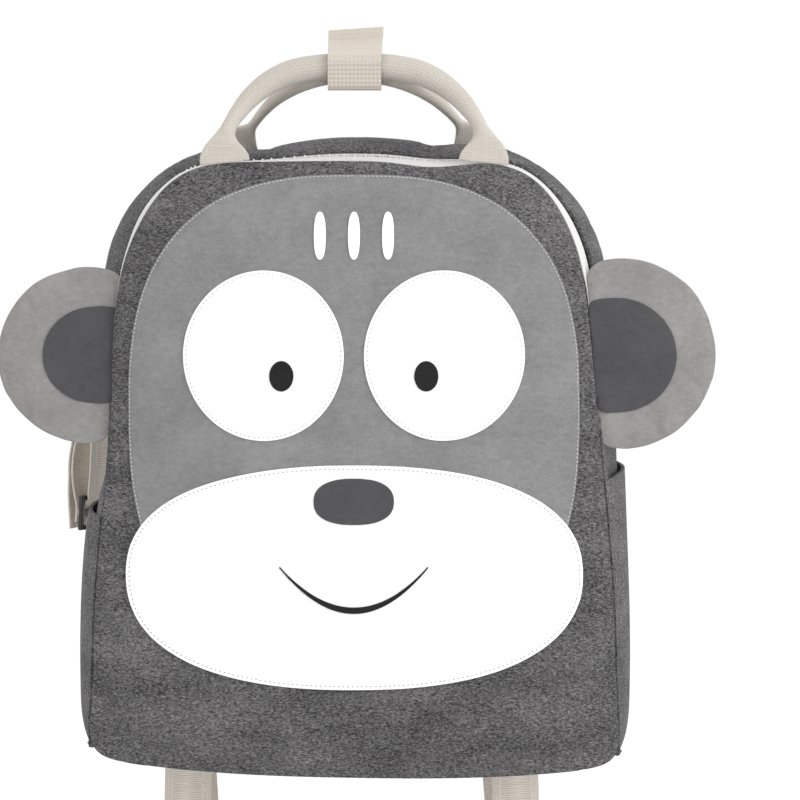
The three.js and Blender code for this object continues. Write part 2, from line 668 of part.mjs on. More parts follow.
function addFace() {
  const headMiddle = { x: 0, z: TOP_Z - HEAD_TOP_DROP - HEAD_HEIGHT / 2 };
  const headOutline = roundedOutline(HEAD_WIDTH, HEAD_HEIGHT, HEAD_POWER);
  addPatch("head_patch", headMiddle, headOutline, 0, HEAD_SIDES, WIDE_RINGS, CLOTH.headGrey);
  const muzzleTop = BASE_Z + MUZZLE_BASE + MUZZLE_HEIGHT;
  const muzzleMiddle = { x: 0, z: muzzleTop - MUZZLE_HEIGHT / 2 };
  const muzzleOutline = roundedOutline(MUZZLE_WIDTH, MUZZLE_HEIGHT, MUZZLE_POWER);
  addPatch("muzzle_patch", muzzleMiddle, muzzleOutline, 1, MUZZLE_SIDES, WIDE_RINGS, CLOTH.white);
  const eyePatchOutline = roundedOutline(EYE_PATCH_WIDTH, EYE_PATCH_HEIGHT, EYE_POWER);
  const eyeOutline = roundedOutline(EYE_WIDTH, EYE_LENGTH, EYE_POWER);
  for (const [label, side] of [["left", -1], ["right", 1]]) {
    const patch = { x: (side * EYE_SPACING) / 2, z: BASE_Z + EYE_HEIGHT };
    const name = "eye_patch_" + label;
    addPatch(name, patch, eyePatchOutline, 1, EYE_PATCH_SIDES, EYE_PATCH_RINGS, CLOTH.white);
    const eye = { x: patch.x - side * EYE_INSET, z: patch.z - EYE_DROP };
    addPatch("eye_" + label, eye, eyeOutline, 2, EYE_SIDES, SMALL_RINGS, CLOTH.black);
  }
  const noseMiddle = { x: 0, z: muzzleTop - NOSE_DROP };
  const noseOutline = roundedOutline(NOSE_WIDTH, NOSE_HEIGHT, NOSE_POWER);
  addPatch("nose", noseMiddle, noseOutline, 2, NOSE_SIDES, SMALL_RINGS, CLOTH.darkGrey);
  addSmile(muzzleTop - SMILE_DROP);
  const stripeOutline = roundedOutline(STRIPE_WIDTH, STRIPE_LENGTH, NOSE_POWER);
  for (const [label, count] of [["left", -1], ["middle", 0], ["right", 1]]) {
    const stripe = { x: count * STRIPE_SPACING, z: TOP_Z - HEAD_TOP_DROP - STRIPE_DROP };
    addPatch("forehead_stripe_" + label, stripe, stripeOutline, 1, STRIPE_SIDES, [1], CLOTH.white);
  }
}

// An oval section of a handle round a point, across and deep along two directions.
function oval(middle, across, deep, width, depth) {
  return Array.from({ length: HANDLE_SIDES }, (_, i) => {
    const angle = ((i + 0.5) / HANDLE_SIDES) * 2 * Math.PI;
    const point = middle.clone().addScaledVector(across, (Math.cos(angle) * width) / 2);
    return point.addScaledVector(deep, (Math.sin(angle) * depth) / 2);
  });
}

// A handle from one foot over its middle to the other foot. The feet stand on the edge of a panel, and
// column names the one of HANDLE_ROWS that gives its width.
function addHandle(name, curve, column, footY, spread, top, height) {
  const seat = seatAt(curve, spread / 2);
  const foot = new THREE.Vector3(seat.point.x, footY, seat.point.z).addScaledVector(seat.out, SEAM_GAP);
  const rise = top.z - foot.z;
  const half = HANDLE_ROWS.map((row) => {
    const y = mix(foot.y, top.y, Math.pow(THREE.MathUtils.smoothstep(row.up, 0, 1), HANDLE_LEAN));
    const point = new THREE.Vector3(row[column] * foot.x, y, foot.z + row.up * rise);
    const width = row.width * (row.flat ? HANDLE_FOOT : height);
    return { point, width, depth: row.depth * HANDLE_THICKNESS };
  });
  const other = half.map((row) => ({ ...row, point: row.point.clone().setX(-row.point.x) })).reverse();
  const rows = [...half, ...other];
  const rings = rows.map((row, i) => {
    const before = rows[Math.max(i - 1, 0)].point;
    const after = rows[Math.min(i + 1, rows.length - 1)].point;
    const along = after.clone().sub(before).setY(0).normalize();
    if (i === 0) along.copy(seat.out);
    if (i === rows.length - 1) along.set(seat.out.x, 0, -seat.out.z);
    const across = new THREE.Vector3(along.z, 0, -along.x);
    return oval(row.point, across, new THREE.Vector3(0, 1, 0), row.width, row.depth);
  });
  addLoft(name, rings, CLOTH.cream);
}

// Where an outline's top edge is at a distance from the middle, and its outward direction there.
function seatAt(curve, x) {
  let low = 0;
  let high = 0.25;
  for (let i = 0; i < 40; i++) {
    const half = (low + high) / 2;
    if (curve.getPoint(half).x < x) low = half;
    else high = half;
  }
  const along = curve.getTangent(low);
  return { point: curve.getPoint(low), out: new THREE.Vector3(-along.z, 0, along.x) };
}

function addHandles() {
  const apart = HANDLE_THICKNESS / 2 + SEAM_GAP;
  const backTop = WRAP_THICKNESS + WRAP_CLEARANCE + BACK_HANDLE_HEIGHT / 2;
  const frontTop = backTop + BACK_HANDLE_HEIGHT / 2 + HANDLE_THICKNESS / 2 - HANDLE_NEST;
  const frontFootY = BACK_Y - depthAt(TOP_Z) + WALL * 0.25;
  const frontApex = new THREE.Vector3(0, -apart, frontTop);
  addHandle("front_handle", frontCurve, "frontOut", frontFootY, HANDLE_SPREAD, frontApex, HANDLE_THICKNESS);
  const backApex = new THREE.Vector3(0, apart, backTop);
  const backFootY = BACK_Y - WALL * 0.25;
  const spread = BACK_HANDLE_SPREAD;
  addHandle("back_handle", backCurve, "backOut", backFootY, spread, backApex, BACK_HANDLE_HEIGHT);

  // The wrap: a webbing band round both handles whose two layers are joined in a flat tab on top.
  const inside = 2 * apart - SEAM_GAP + WRAP_CLEARANCE;
  const shoulder = frontTop + HANDLE_THICKNESS * WRAP_SHOULDER;
  const tab = WRAP_HEIGHT - WRAP_TAB;
  const half = (grow) => {
    const side = inside + grow;
    const low = WRAP_THICKNESS - grow;
    const neck = WRAP_THICKNESS * WRAP_NECK + grow * 0.8;
    return { side, low, neck, shoulder: shoulder + grow * 0.5, tip: tab + grow * 0.5 };
  };
  const outer = half(WRAP_THICKNESS);
  const inner = half(0);
  const trace = (path, p, top) => {
    const round = BACK_HANDLE_HEIGHT / 2;
    path.moveTo(-p.side + round, p.low);
    path.lineTo(p.side - round, p.low);
    path.quadraticCurveTo(p.side, p.low, p.side, p.low + round);
    path.lineTo(p.side, p.shoulder);
    path.lineTo(p.neck, p.tip);
    top(p);
    path.lineTo(-p.neck, p.tip);
    path.lineTo(-p.side, p.shoulder);
    path.lineTo(-p.side, p.low + round);
    path.quadraticCurveTo(-p.side, p.low, -p.side + round, p.low);
  };
  const shape = new THREE.Shape();
  trace(shape, outer, (p) => {
    shape.lineTo(p.neck, WRAP_HEIGHT);
    shape.lineTo(-p.neck, WRAP_HEIGHT);
  });
  const hole = new THREE.Path();
  trace(hole, { ...inner, tip: inner.tip - WRAP_THICKNESS }, () => {});
  shape.holes.push(hole);
  const options = { depth: WRAP_WIDTH, bevelEnabled: false, curveSegments: 5 };
  const geometry = new THREE.ExtrudeGeometry(shape, options);
  geometry.translate(0, 0, -WRAP_WIDTH / 2);
  geometry.rotateX(Math.PI / 2);
  geometry.rotateZ(Math.PI / 2);
  addGeometry("handle_wrap", geometry, CLOTH.cream);
}

// A shoulder strap's middle line, from its top seam to the turn of its slack loop.
function strapLine(side, splay, baseX) {
  const topX = PAD_TOP_SPREAD / 2;
  const topZ = BACK_TOP_Z - PAD_TOP_DROP;
  const drop = topZ - (BASE_Z - LOOP_DROP);
  const standOff = backFaceY(topX, topZ) + 2 * SEAM_GAP + (PAD_THICKNESS * PAD_END_THICKNESS) / 2;
  const points = STRAP_ROWS.map((row) => {
    const x = mix(topX, baseX, row.down) + splay * row.out;
    return new THREE.Vector3(side * x, standOff + STRAP_BOW * row.back, topZ - drop * row.down);
  });
  return { curve: new THREE.CatmullRomCurve3(points, false, "centripetal"), topZ, drop, baseX };
}

// The point of a strap's line at a share of its drop.
function strapPoint(line, down) {
  let low = 0;
  let high = 1;
  for (let i = 0; i < 40; i++) {
    const half = (low + high) / 2;
    if (line.curve.getPoint(half).z > line.topZ - line.drop * down) low = half;
    else high = half;
  }
  return line.curve.getPoint(low);
}

// The width direction of a strap at a share of its drop: it turns sideways along its pad, and back below
// its slider.
function strapAcross(side, turn, down) {
  const turned = THREE.MathUtils.smoothstep(down, TURN_START, TURN_END);
  const untwisted = THREE.MathUtils.smoothstep(down, SLIDER_SHARE, UNTURN_END);
  const angle = THREE.MathUtils.degToRad(turn) * (turned - untwisted);
  return new THREE.Vector3(Math.cos(angle), -side * Math.sin(angle), 0);
}

// Rings of a flat strip along a list of points, each with the direction of its width.
function stripRings(stations, width, thickness, padded) {
  return stations.map(({ point, across, scale = 1, thin = 1 }, i) => {
    const before = stations[Math.max(i - 1, 0)].point;
    const after = stations[Math.min(i + 1, stations.length - 1)].point;
    const along = after.clone().sub(before).normalize();
    const wide = across.clone().addScaledVector(along, -across.dot(along)).normalize();
    const deep = new THREE.Vector3().crossVectors(along, wide);
    const w = (width * scale) / 2;
    const t = (thickness * thin) / 2;
    const flat = [
      [-w, -t],
      [w, -t],
      [w, t],
      [-w, t],
    ];
    const rounded = [
      [-w, -t * 0.35],
      [-w * 0.8, -t],
      [w * 0.8, -t],
      [w, -t * 0.35],
      [w, t * 0.35],
      [w * 0.8, t],
      [-w * 0.8, t],
      [-w, t * 0.35],
    ];
    const outline = padded ? rounded : flat;
    return outline.map(([a, b]) => point.clone().addScaledVector(wide, a).addScaledVector(deep, b));
  });
}

function addPad(label, side, line, turn) {
  const end = RING_SHARE - PAD_END_SHARE;
  const steps = 12;
  const stations = evenShares(steps).map((share) => {
    const down = share * end;
    const rounded = Math.min(1, 0.62 + 1.6 * share, 0.6 + 2.2 * (1 - share));
    return {
      point: strapPoint(line, down),
      across: strapAcross(side, turn, down),
      scale: rounded,
      thin: Math.min(1, PAD_END_THICKNESS + 2.5 * share, PAD_END_THICKNESS + 3 * (1 - share)),
    };
  });
  addLoft("shoulder_pad_" + label, stripRings(stations, PAD_WIDTH, PAD_THICKNESS, true), CLOTH.marl);
}

// The straight frame between the slider and the ring: up is along the strap, out is away from the bag.
function strandFrame(side, line, turn) {
  const slider = strapPoint(line, SLIDER_SHARE);
  const ring = strapPoint(line, RING_SHARE);
  const up = ring.clone().sub(slider).normalize();
  const across = strapAcross(side, turn, SLIDER_SHARE);
  across.addScaledVector(up, -across.dot(up)).normalize();
  const out = new THREE.Vector3().crossVectors(across, up).multiplyScalar(-1);
  return { slider, ring, up, across, out, length: ring.distanceTo(slider) };
}

// A rectangular frame of square bars, with one more bar across its middle where it is a slider.
function addFitting(name, frame, middle, bar, bars, pitch, material) {
  const width = WEBBING_WIDTH + 2 * SEAM_GAP + 2 * FITTING_SIDE;
  const height = (bars - 1) * pitch + bar;
  const shape = new THREE.Shape();
  shape.moveTo(-width / 2, -height / 2);
  shape.lineTo(width / 2, -height / 2);
  shape.lineTo(width / 2, height / 2);
  shape.lineTo(-width / 2, height / 2);
  shape.closePath();
  for (let i = 0; i + 1 < bars; i++) {
    const low = -height / 2 + bar + i * pitch;
    const high = low + pitch - bar;
    const slot = new THREE.Path();
    slot.moveTo(-width / 2 + FITTING_SIDE, low);
    slot.lineTo(-width / 2 + FITTING_SIDE, high);
    slot.lineTo(width / 2 - FITTING_SIDE, high);
    slot.lineTo(width / 2 - FITTING_SIDE, low);
    slot.closePath();
    shape.holes.push(slot);
  }
  const geometry = new THREE.ExtrudeGeometry(shape, { depth: bar, bevelEnabled: false });
  geometry.translate(0, 0, -bar / 2);
  const through = new THREE.Vector3().crossVectors(frame.across, frame.up);
  const turned = new THREE.Matrix4().makeBasis(frame.across, frame.up, through);
  geometry.applyMatrix4(turned.setPosition(middle));
  addGeometry(name, geometry, material);
}

// One length of webbing: from the base seam down, round the slack loop, up through the slider to the ring,
// round the ring's bar and back down to the slider, where its end is sewn.
function addWebbing(label, side, line, turn, frame) {
  const flatX = new THREE.Vector3(1, 0, 0);
  const baseX = side * line.baseX;
  const seamY = backFaceY(baseX, BASE_Z + SEAM_UPPER) + SEAM_GAP + WEBBING_THICKNESS / 2;
  const loop = strapPoint(line, LOOP_SHARE);
  const stations = [
    { point: new THREE.Vector3(baseX, seamY, BASE_Z + SEAM_UPPER), across: flatX },
    { point: new THREE.Vector3(baseX, seamY, BASE_Z + SEAM_LOWER), across: flatX },
    { point: new THREE.Vector3(baseX + side * 0.5, seamY + 0.4, BASE_Z - SEAM_LOWER), across: flatX },
    { point: new THREE.Vector3(baseX + side, seamY + 1, BASE_Z - LOOP_DROP * LOOP_ENTRY), across: flatX },
  ];
  const near = new THREE.Vector3(baseX + side * 1.5, seamY + 1.5, loop.z);
  const radius = (loop.y - near.y) / 2;
  for (const share of evenShares(6)) {
    const angle = Math.PI * share;
    const x = mix(near.x, loop.x, share);
    const y = near.y + radius * (1 - Math.cos(angle));
    stations.push({ point: new THREE.Vector3(x, y, loop.z - radius * Math.sin(angle)), across: flatX });
  }
  const below = SLIDER_SHARE + (SLIDER_PITCH * 3.4) / line.drop;
  const climb = Math.round(((LOOP_SHARE - below) * line.drop) / STRAP_STEP);
  for (const share of evenShares(climb).slice(1)) {
    const down = mix(LOOP_SHARE, below, share);
    stations.push({ point: strapPoint(line, down), across: strapAcross(side, turn, down) });
  }
  // Under the slider's lower bar, over its middle bar and under its upper one.
  const place = (up, out) =>
    frame.slider.clone().addScaledVector(frame.up, up).addScaledVector(frame.out, out);
  const clear = SLIDER_BAR / 2 + WEBBING_THICKNESS / 2 + SEAM_GAP * 1.5;
  const flat = SLIDER_BAR * 0.62;
  stations.push({ point: place(-SLIDER_PITCH * 1.7, -clear), across: frame.across });
  for (const [bar, outSide] of [[-1, -1], [0, 1], [1, -1]]) {
    for (const end of [-flat, flat]) {
      stations.push({ point: place(bar * SLIDER_PITCH + end, outSide * clear), across: frame.across });
    }
  }
  const turnRadius = RING_BAR * 0.75 + WEBBING_THICKNESS / 2 + SEAM_GAP;
  const barUp = frame.length - RING_PITCH / 2;
  for (const share of [0.3, 0.65, 1]) {
    const up = mix(SLIDER_PITCH + flat * 2.2, barUp - turnRadius, share);
    stations.push({ point: place(up, -turnRadius), across: frame.across });
  }
  for (const share of evenShares(6)) {
    const angle = Math.PI * share;
    const up = barUp + turnRadius * Math.sin(angle);
    stations.push({ point: place(up, -turnRadius * Math.cos(angle)), across: frame.across });
  }
  const endUp = SLIDER_PITCH * 0.4;
  for (const share of [0.15, 0.4, 0.65, 0.85, 1]) {
    const bow = STRAND_BOW * Math.sin(Math.PI * share);
    const out = mix(turnRadius, clear + WEBBING_THICKNESS + SEAM_GAP * 2, share) + bow;
    stations.push({ point: place(mix(barUp, endUp, share), out), across: frame.across });
  }
  stations.push({
    point: place(-SLIDER_PITCH * 0.7, clear + WEBBING_THICKNESS + SEAM_GAP * 2),
    across: frame.across,
  });
  const rings = stripRings(stations, WEBBING_WIDTH, WEBBING_THICKNESS, false);
  addLoft("strap_webbing_" + label, rings, CLOTH.cream);
}

// The loop of webbing that holds the ring at the end of the pad.
function addRingTab(label, side, line, turn, frame) {
  const turnRadius = RING_BAR * 0.75 + WEBBING_THICKNESS / 2 + SEAM_GAP;
  const barUp = RING_PITCH / 2;
  const place = (up, out) =>
    frame.ring.clone().addScaledVector(frame.up, up).addScaledVector(frame.out, out);
  const end = strapPoint(line, RING_SHARE - PAD_END_SHARE);
  const along = end.clone().sub(place(barUp, 0)).normalize();
  const across = strapAcross(side, turn, RING_SHARE - PAD_END_SHARE);
  const start = end.clone().addScaledVector(along, -5 * SEAM_GAP);
  const top = (out) => ({
    point: start.clone().addScaledVector(frame.out, out * turnRadius * 0.6),
    across,
  });
  const arc = evenShares(6).map((share) => {
    const angle = Math.PI * share;
    const up = barUp - turnRadius * Math.sin(angle);
    return { point: place(up, -turnRadius * Math.cos(angle)), across: frame.across };
  });
  const stations = [top(-1), ...arc, top(1)];
  addLoft("ring_tab_" + label, stripRings(stations, WEBBING_WIDTH, WEBBING_THICKNESS, false), CLOTH.cream);
}

function addStrap(label, side, splay, turn, baseX) {
  const line = strapLine(side, splay, baseX);
  const frame = strandFrame(side, line, turn);
  addPad(label, side, line, turn);
  addRingTab(label, side, line, turn, frame);
  addFitting("strap_ring_" + label, frame, frame.ring, RING_BAR, 2, RING_PITCH, PLASTIC.fitting);
  addFitting("strap_slider_" + label, frame, frame.slider, SLIDER_BAR, 3, SLIDER_PITCH, PLASTIC.fitting);
  addWebbing(label, side, line, turn, frame);
}

addBody();
addPocket("side_pocket_right", POCKET_MOUTH_RIGHT, false);
addPocket("side_pocket_left", POCKET_MOUTH_LEFT, true);
addEar("right", 1);
addEar("left", -1);
addFace();
addHandles();
addStrap("right", 1, RIGHT_SPLAY, RIGHT_TURN, STRAP_BASE_RIGHT);
addStrap("left", -1, LEFT_SPLAY, LEFT_TURN, STRAP_BASE_LEFT);

export default group;
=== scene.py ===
# %% [markdown]
# # A kids' animal backpack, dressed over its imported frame
# The frame is the measured model of the bag: its panels, zip, ears, straps and handles as plain faceted
# solids. This lesson turns them into cloth. Every piece of the lesson starts from the solid that it
# stands for, so it lands in the right place, and then gets what a plain solid lacks: a smooth form,
# slack, puckers along the seams, threads and a woven surface. All lengths are in metres.

# %% Load the frame
import math

import bmesh
import bpy
import numpy as np
from mathutils import Matrix, Vector, noise
from mathutils.bvhtree import BVHTree
from mathutils.kdtree import KDTree


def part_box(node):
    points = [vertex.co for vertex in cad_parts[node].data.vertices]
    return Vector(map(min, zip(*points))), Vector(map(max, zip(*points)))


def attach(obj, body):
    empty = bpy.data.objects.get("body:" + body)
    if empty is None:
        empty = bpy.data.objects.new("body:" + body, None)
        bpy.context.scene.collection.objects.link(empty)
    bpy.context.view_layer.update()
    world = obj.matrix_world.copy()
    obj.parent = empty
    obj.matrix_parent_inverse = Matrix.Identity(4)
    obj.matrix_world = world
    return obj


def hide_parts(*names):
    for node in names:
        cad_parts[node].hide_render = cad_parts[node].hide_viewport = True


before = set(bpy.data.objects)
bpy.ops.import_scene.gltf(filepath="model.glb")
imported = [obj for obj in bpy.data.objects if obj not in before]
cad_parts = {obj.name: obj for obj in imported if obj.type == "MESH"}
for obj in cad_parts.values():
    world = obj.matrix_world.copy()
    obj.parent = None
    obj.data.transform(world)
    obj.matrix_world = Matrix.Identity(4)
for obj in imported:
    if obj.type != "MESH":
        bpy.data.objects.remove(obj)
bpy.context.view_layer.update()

MM = 0.001
scene = bpy.context.scene
scene.view_settings.view_transform = "Standard"
print("nodes:", len(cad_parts))

# %% [markdown]
# ## The camera
# The bag was looked at from a little above and straight in front, from far enough away that its sides
# stay almost parallel. A long lens two metres off gives the same view.

# %% Camera
AIM = Vector((0.023, -0.05, -0.1533))
CAMERA_DISTANCE = 2.0
CAMERA_RISE = math.radians(6)
LENS = 180

camera = bpy.data.objects.new("camera", bpy.data.cameras.new("camera"))
camera.data.lens = LENS
camera.data.sensor_width = 36
camera.location = AIM + CAMERA_DISTANCE * Vector((0, -math.cos(CAMERA_RISE), math.sin(CAMERA_RISE)))
camera.rotation_euler = (math.radians(90) - CAMERA_RISE, 0, 0)
scene.collection.objects.link(camera)
scene.camera = camera
print("camera at", [round(value, 3) for value in camera.location])

# %% [markdown]
# ## Materials
# Every cloth is a small tree of nodes: a colour that varies a little, a weave or a knit for the bump, and
# a rough surface with some sheen. One helper starts a material and another adds a node with its settings,
# so that each recipe stays short.


# %% Material helpers
def start_material(name, colour, roughness, sheen=0.0, metallic=0.0, specular=0.5):
    material = bpy.data.materials.new(name)
    material.use_nodes = True
    shader = material.node_tree.nodes["Principled BSDF"]
    shader.inputs["Base Color"].default_value = (*colour, 1)
    shader.inputs["Roughness"].default_value = roughness
    shader.inputs["Metallic"].default_value = metallic
    shader.inputs["Specular IOR Level"].default_value = specular
    shader.inputs["Sheen Weight"].default_value = sheen
    shader.inputs["Sheen Roughness"].default_value = 0.5
    return material, shader


def add_node(material, kind, settings=None, **inputs):
    node = material.node_tree.nodes.new(kind)
    for name, value in (settings or {}).items():
        setattr(node, name, value)
    for name, value in inputs.items():
        socket = node.inputs[int(name[1:]) if name.startswith("n") else name.replace("_", " ")]
        if isinstance(value, bpy.types.NodeSocket):
            material.node_tree.links.new(value, socket)
        else:
            socket.default_value = value
    return node


def place_of(material, source, scale):
    coordinates = add_node(material, "ShaderNodeTexCoord")
    mapping = add_node(material, "ShaderNodeMapping", Vector=coordinates.outputs[source], Scale=scale)
    return mapping.outputs["Vector"]


def ramp(material, value, stops):
    node = add_node(material, "ShaderNodeValToRGB", Fac=value)
    while len(node.color_ramp.elements) < len(stops):
        node.color_ramp.elements.new(0.5)
    for element, (position, colour) in zip(node.color_ramp.elements, stops):
        element.position = position
        element.color = (*colour, 1)
    return node.outputs["Color"]


def noise_of(material, vector, scale, detail=2.0, rough=0.5):
    settings = {"Scale": scale, "Detail": detail, "Roughness": rough}
    return add_node(material, "ShaderNodeTexNoise", Vector=vector, **settings).outputs["Fac"]


def math_of(material, operation, first, second=0.0):
    node = add_node(material, "ShaderNodeMath", {"operation": operation}, n0=first, n1=second)
    return node.outputs["Value"]


def plus(material, first, second):
    return math_of(material, "ADD", first, second)


def times(material, first, second):
    return math_of(material, "MULTIPLY", first, second)


def bands_of(material, vector, axis, scale, distortion=0.0):
    kind = {"wave_type": "BANDS", "bands_direction": axis}
    size = {"Scale": scale, "Distortion": distortion}
    return add_node(material, "ShaderNodeTexWave", kind, Vector=vector, **size).outputs["Fac"]


def bump(material, shader, height, strength, distance):
    node = add_node(material, "ShaderNodeBump", Height=height, Strength=strength, Distance=distance)
    material.node_tree.links.new(node.outputs["Normal"], shader.inputs["Normal"])


# %% [markdown]
# ### Marl
# The body is a sweatshirt-like marl: dark and light fibres spun together, so the colour breaks up into
# short streaks along the courses of the knit. Noise that is squeezed upright gives those streaks, a wider
# one the cloudiness of the dye, and a fine one the fuzz.


# %% Marl cloth
COURSES = (1, 1, 2.3)
STREAKS, YARNS, CLOUDS = 700, 420, 26


def marl(name, dark, light):
    material, shader = start_material(name, light, 0.95, sheen=0.03, specular=0.15)
    flat = place_of(material, "Object", COURSES)
    streaks = noise_of(material, flat, STREAKS, 3, 0.75)
    clouds = noise_of(material, flat, CLOUDS, 2, 0.5)
    yarns = noise_of(material, flat, YARNS, 2, 0.6)
    fibres = plus(material, times(material, streaks, 0.76), times(material, yarns, 0.24))
    dye = times(material, math_of(material, "SUBTRACT", clouds, 0.5), 0.16)
    shade = plus(material, fibres, dye)
    middle = tuple((a + b) / 2 for a, b in zip(dark, light))
    palest = tuple(value * 1.6 for value in light)
    colour = ramp(material, shade, [(0.4, dark), (0.5, middle), (0.59, light), (0.68, palest)])
    material.node_tree.links.new(colour, shader.inputs["Base Color"])
    bump(material, shader, shade, 0.35, 0.0006)
    return material


MARL = marl("marl_cloth", (0.027, 0.0257, 0.027), (0.165, 0.16, 0.164))
print("marl:", len(MARL.node_tree.nodes), "nodes")

# %% [markdown]
# ### Canvas
# The face and the ears are plain-woven cotton. Two crossed sets of bands make the weave, and a slow noise
# makes the cloth a little uneven, as printed or dyed cotton is.


# %% Canvas
CANVAS_THREADS = 560


def canvas(name, colour, uneven, weave=0.22, sheen=0.05):
    material, shader = start_material(name, colour, 0.9, sheen=sheen, specular=0.25)
    flat = place_of(material, "Object", (1, 1, 1))
    warp = bands_of(material, flat, "X", CANVAS_THREADS, 0.6)
    weft = bands_of(material, flat, "Z", CANVAS_THREADS, 0.6)
    cross = math_of(material, "MAXIMUM", warp, weft)
    patchy = noise_of(material, flat, 38, 3, 0.6)
    slubs = noise_of(material, place_of(material, "Object", (1, 1, 2)), 240, 2, 0.6)
    grain = noise_of(material, flat, 900, 2, 0.7)
    tone = plus(material, times(material, patchy, 0.35), times(material, slubs, 0.3))
    tone = plus(material, tone, times(material, grain, 0.35))
    low = tuple(value * (1 - uneven) for value in colour)
    high = tuple(min(value * (1 + uneven), 0.93) for value in colour)
    colour = ramp(material, tone, [(0.36, low), (0.64, high)])
    material.node_tree.links.new(colour, shader.inputs["Base Color"])
    height = plus(material, cross, times(material, slubs, 0.8))
    bump(material, shader, height, weave, 0.0004)
    return material


HEAD_CANVAS = canvas("head_canvas", (0.214, 0.214, 0.216), 0.2, 0.4)
EAR_CANVAS = canvas("ear_canvas", (0.25, 0.246, 0.24), 0.18, 0.4)
DARK_CANVAS = canvas("dark_canvas", (0.068, 0.0675, 0.071), 0.14)
WHITE_CANVAS = canvas("white_canvas", (0.9, 0.9, 0.9), 0.02, 0.12)
BLACK_PRINT = canvas("black_print", (0.012, 0.012, 0.013), 0.2, 0.15)
THREAD = start_material("light_thread", (0.56, 0.56, 0.55), 0.7)[0]
GREY_THREAD = start_material("grey_thread", (0.16, 0.16, 0.165), 0.7)[0]
print("canvas:", len(HEAD_CANVAS.node_tree.nodes), "nodes")

# %% [markdown]
# ### Webbing
# The handles and straps are heavy cotton webbing. Its ribs run slantwise in a herringbone, so the pattern
# has to follow the strap. It reads the strap's own map, which holds metres across and metres along. Where a
# handle is sewn down the ribs give way to the small dots of the stitching. On the wrap the lower half is
# painted darker as shade, and above it the weave is flattened to a paler, even tone as painted light.


# %% Webbing
HERRINGBONE = 0.0063
SEWN_DOT = 0.0024


def sine_of(material, value, pitch):
    return math_of(material, "SINE", times(material, value, 2 * math.pi / pitch))


def sewn_foot(material, place, weave, sewn_below):
    waves = []
    for operation in ("ADD", "SUBTRACT"):
        diagonal = math_of(material, operation, place.outputs["X"], place.outputs["Z"])
        waves.append(sine_of(material, diagonal, SEWN_DOT))
    dots = times(material, times(material, waves[0], waves[1]), 0.3)
    foot = times(material, math_of(material, "SUBTRACT", sewn_below, place.outputs["Z"]), 90)
    foot = math_of(material, "MINIMUM", math_of(material, "MAXIMUM", foot, 0.0), 1.0)
    rest = math_of(material, "SUBTRACT", 1.0, foot)
    return plus(material, times(material, weave, rest), times(material, dots, foot))


def webbing(name, colour, rib=0.00125, wave=0.9, painted_shade_below=None, sewn_below=None):
    material, shader = start_material(name, colour, 0.88, sheen=0.1, specular=0.25)
    flat = place_of(material, "UV", (1, 1, 1))
    parts = add_node(material, "ShaderNodeSeparateXYZ", Vector=flat)
    across, along = parts.outputs["X"], parts.outputs["Y"]
    folded = math_of(material, "PINGPONG", across, HERRINGBONE)
    ribs = sine_of(material, plus(material, times(material, folded, wave), along), rib)
    cords = sine_of(material, across, rib * 0.9)
    weave = times(material, plus(material, ribs, times(material, cords, 0.6)), 0.3)
    if sewn_below is not None or painted_shade_below is not None:
        solid = place_of(material, "Object", (1, 1, 1))
        place = add_node(material, "ShaderNodeSeparateXYZ", Vector=solid)
    if sewn_below is not None:
        weave = sewn_foot(material, place, weave, sewn_below)
    # Painted light and shade on the wrap: above this height the weave is flattened to a paler even tone,
    # below it the colour is pushed darker.
    if painted_shade_below is not None:
        shaded_low_half = math_of(material, "LESS_THAN", place.outputs["Z"], painted_shade_below)
        weave = times(material, weave, plus(material, times(material, shaded_low_half, 0.8), 0.2))
        weave = math_of(material, "SUBTRACT", weave, times(material, shaded_low_half, 0.28))
    fluff = noise_of(material, flat, 900, 2, 0.6)
    height = plus(material, weave, fluff)
    low = tuple(value * 0.8 for value in colour)
    high = tuple(min(value * 1.06, 0.93) for value in colour)
    tone = ramp(material, height, [(0.1, low), (0.62, colour), (1.0, high)])
    material.node_tree.links.new(tone, shader.inputs["Base Color"])
    bump(material, shader, height, 0.5, 0.0007)
    return material


WEBBING = webbing("cotton_webbing", (0.53, 0.49, 0.44), sewn_below=-0.004)
# Painted light: the straps hang in the bag's shade, so their webbing is a brighter copy of the handle
# webbing.
LIT_STRAP_WEBBING = webbing("strap_webbing", (0.72, 0.66, 0.59))
# The wrap's lit top and shaded underside are painted into its colour at this height.
WRAP_WEBBING = webbing("wrap_webbing", (0.56, 0.505, 0.45), rib=0.0022, wave=0.0, painted_shade_below=0.0145)
PLAIN_WEBBING = canvas("plain_webbing", (0.55, 0.5, 0.45), 0.08)
ZIP_TAPE = canvas("zip_tape", (0.62, 0.62, 0.61), 0.06)
ZIP_TEETH = start_material("zip_teeth", (0.72, 0.72, 0.7), 0.4)[0]
STRAP_PLASTIC = start_material("strap_plastic", (0.02, 0.02, 0.021), 0.45)[0]
ZIP_METAL = start_material("zip_metal", (0.62, 0.62, 0.63), 0.32, metallic=1.0)[0]
print("materials:", len(bpy.data.materials))

# %% [markdown]
# ## From a solid to a sheet
# A cloth piece of the frame is a thin closed solid. Merging its corners and joining its triangles to
# four-sided faces gives back the clean grid that it was drawn with. The faces on its outside are then all
# that is needed: they are the sheet, which can be made smooth, left slack and given its thickness again
# at the end.


# %% Helpers for shapes
def merged_copy(node):
    bm = bmesh.new()
    bm.from_mesh(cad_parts[node].data)
    bmesh.ops.remove_doubles(bm, verts=bm.verts, dist=0.01 * MM)
    turn = math.radians(50)
    bmesh.ops.join_triangles(bm, faces=bm.faces, angle_face_threshold=turn, angle_shape_threshold=turn)
    bmesh.ops.recalc_face_normals(bm, faces=bm.faces)
    return bm


def keep_faces(bm, test):
    bmesh.ops.delete(bm, geom=[face for face in bm.faces if not test(face)], context="FACES")
    return bm


